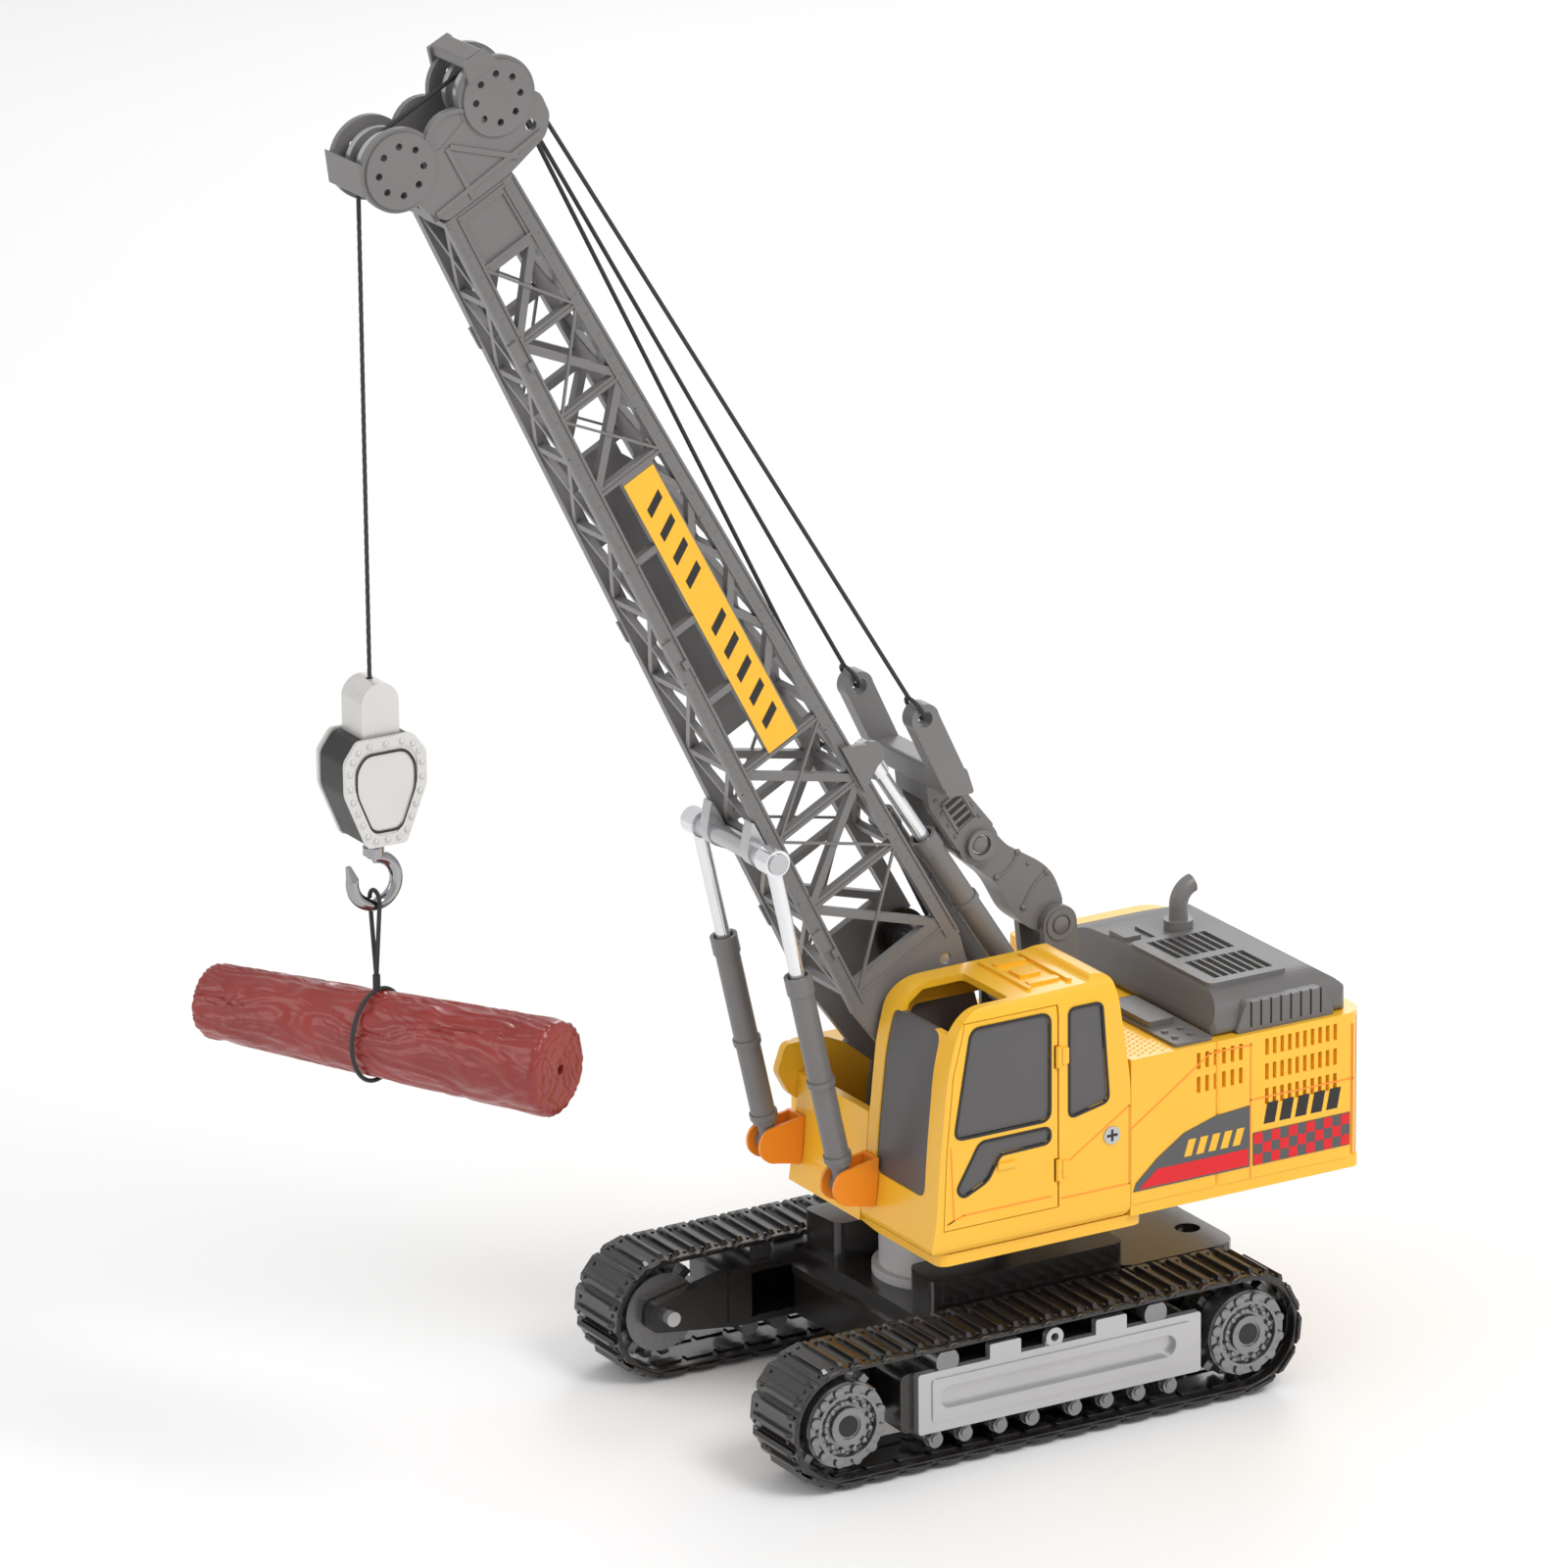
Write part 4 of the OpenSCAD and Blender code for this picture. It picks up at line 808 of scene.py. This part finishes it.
bm = bmesh.new()
per_edge = [3, 4, 2, 2, 3, 2, 2, 4]
for side in (1, -1):
    for (a, b), n in zip(zip(SHIELD, SHIELD[1:] + SHIELD[:1]), per_edge):
        for k in range(n):
            t = (k + 0.5) / n
            y, z = at_block((a[0] + (b[0] - a[0]) * t, a[1] + (b[1] - a[1]) * t), 0.88)
            add_dome(bm, (side * block_hi.x, y, z), (side, 0, 0), 0.95, 0.8, 10)
new_piece("block_rivets", bm, "block", "block")
bm = bmesh.new()
for side in (1, -1):
    rows = []
    for scale in (0.745, 0.70):
        loop = rounded([at_block(p, scale) for p in SHIELD], 2.5)
        rows.append([bm.verts.new((side * (block_hi.x + 0.06), *q)) for q in loop])
    n = len(rows[0])
    for i in range(n):
        j = (i + 1) % n
        bm.faces.new((rows[0][i], rows[0][j], rows[1][j], rows[1][i]))
new_piece("block_panel_edge", bm, "outline", "block")
bm = bmesh.new()
add_slab(bm, "x", [at_block(p, 0.978) for p in rounded(SHIELD, 1.6)], -7.3, 7.3)
new_piece("block_core", bm, "outline", "block")

# ------------------------------------------------------------------ log with moulded grain
log_lo, log_hi = edges("log_load")
turn = math.radians(28)
axis = Vector((math.cos(turn), math.sin(turn), 0))
side_v = Vector((-math.sin(turn), math.cos(turn), 0))
thick = (log_hi.z - log_lo.z) / 2
thin = 12.0
length = (log_hi.x - log_lo.x - (thick + thin) * math.sin(turn)) / math.cos(turn)
centre = (log_lo + log_hi) / 2
ALONG, ROUND = 210, 112
bm = bmesh.new()
rows = []
EDGE = 3.0
for i in range(ALONG + 1):
    s = i / ALONG * length
    near = min(s, length - s)
    shoulder = math.sqrt(max(0.0, 1 - ((EDGE - near) / EDGE) ** 2)) if near < EDGE else 1.0
    base = thin + (thick - thin) * s / length
    row = []
    for k in range(ROUND):
        a = math.tau * k / ROUND
        field = noise.noise(Vector((s * 0.016, math.cos(a) * 0.85 + 3, math.sin(a) * 0.85)))
        field += 0.25 * noise.noise(Vector((s * 0.05, math.cos(a) * 2.1, math.sin(a) * 2.1 + 5)))
        line = math.sin(field * 34)
        relief = 0.34 * line
        r = (base - 0.35 + relief) * (0.80 + 0.20 * shoulder)
        p = centre + axis * (s - length / 2) + (side_v * math.cos(a) + Vector((0, 0, 1)) * math.sin(a)) * r
        row.append(bm.verts.new(p))
    rows.append(row)
for a, b in zip(rows, rows[1:]):
    for k in range(ROUND):
        bm.faces.new((a[k], a[(k + 1) % ROUND], b[(k + 1) % ROUND], b[k]))
for end, sign in ((rows[0], -1), (rows[-1], 1)):
    mid = centre + axis * sign * length / 2
    last = end
    for f, h in ((0.94, 0.0), (0.82, 0.25), (0.66, 0.0), (0.52, 0.22), (0.38, 0.0), (0.26, 0.15), (0.13, 0.0),
                 (0.11, 3.5), (0.02, 3.6)):
        ring = [bm.verts.new(mid + (v.co - mid - axis * (v.co - mid).dot(axis)) * f - axis * sign * h)
                for v in end]
        for k in range(ROUND):
            bm.faces.new((last[k], last[(k + 1) % ROUND], ring[(k + 1) % ROUND], ring[k]))
        last = ring
    bm.faces.new(last)
log = new_piece("log_grain", bm, "log", "load", smooth=60)
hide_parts("log_load")


# ------------------------------------------------------------------ ropes with twisted strands
def twisted(bm, path, r, lay=3.2, n=12):
    """Three-strand cord along a path of points."""
    points = [Vector(path[0])]
    for p, q in zip(path, path[1:]):
        p, q = Vector(p), Vector(q)
        steps = max(1, round((q - p).length / 0.55))
        points += [p + (q - p) * k / steps for k in range(1, steps + 1)]
    rings, side, run = [], None, 0.0
    for i, p in enumerate(points):
        d = (points[min(i + 1, len(points) - 1)] - points[max(i - 1, 0)]).normalized()
        side = side - d * side.dot(d) if side is not None else d.orthogonal()
        side.normalize()
        other = d.cross(side)
        run += (p - points[i - 1]).length if i else 0
        ring = []
        for k in range(n):
            t = math.tau * k / n
            lobe = abs(math.cos(1.5 * (t - math.tau * run / lay / 3 * 1.0)))
            spoke = side * math.cos(t) + other * math.sin(t)
            ring.append(bm.verts.new(p + spoke * r * (0.78 + 0.22 * lobe)))
        rings.append(ring)
    for a, b in zip(rings, rings[1:]):
        for k in range(n):
            bm.faces.new((a[k], a[(k + 1) % n], b[(k + 1) % n], b[k]))
    bm.faces.new(rings[0][::-1])
    bm.faces.new(rings[-1])


ROPE_R = 0.72
fall_lo, fall_hi = edges("rope_fall")
bm = bmesh.new()
twisted(bm, [(0, rope_y, fall_hi.z), (0, rope_y, fall_lo.z)], ROPE_R)
fall = new_piece("rope_fall_cord", bm, "cord", None)
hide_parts("rope_fall")
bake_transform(fall)

# ------------------------------------------------------------------ stage
floor_bm = bmesh.new()
bmesh.ops.create_grid(floor_bm, x_segments=1, y_segments=1, size=6)
floor_mesh = bpy.data.meshes.new("floor")
floor_bm.to_mesh(floor_mesh)
floor_bm.free()
floor = bpy.data.objects.new("floor", floor_mesh)
floor.location.z = -0.0004
bpy.context.scene.collection.objects.link(floor)
floor_mat = material("floor_white", (0.93, 0.93, 0.93, 1), (0.95, 0.95, 0.95, 1), rough=(0.7, 0.8), scale=2,
                     bump=0.0)
floor_mesh.materials.append(floor_mat)

world = bpy.data.worlds.new("studio")
bpy.context.scene.world = world
world.use_nodes = True
world.node_tree.nodes["Background"].inputs["Color"].default_value = (1, 1, 1, 1)
world.node_tree.nodes["Background"].inputs["Strength"].default_value = 0.72
bpy.context.scene.view_settings.view_transform = "Standard"


def area_light(name, at, aim, size, power):
    data = bpy.data.lights.new(name, "AREA")
    data.shape = "DISK"
    data.size = size
    data.energy = power
    obj = bpy.data.objects.new(name, data)
    bpy.context.scene.collection.objects.link(obj)
    obj.location = at
    obj.rotation_euler = (Vector(aim) - Vector(at)).to_track_quat("-Z", "Y").to_euler()


MIDDLE = (0, -0.03, 0.2)
area_light("key", (1.3, 0.3, 1.7), MIDDLE, 0.9, 17)
area_light("fill", (-0.4, -1.9, 0.9), MIDDLE, 1.2, 6)
area_light("back_rim", (-1.4, 1.2, 1.2), MIDDLE, 0.8, 8)

bpy.context.view_layer.update()
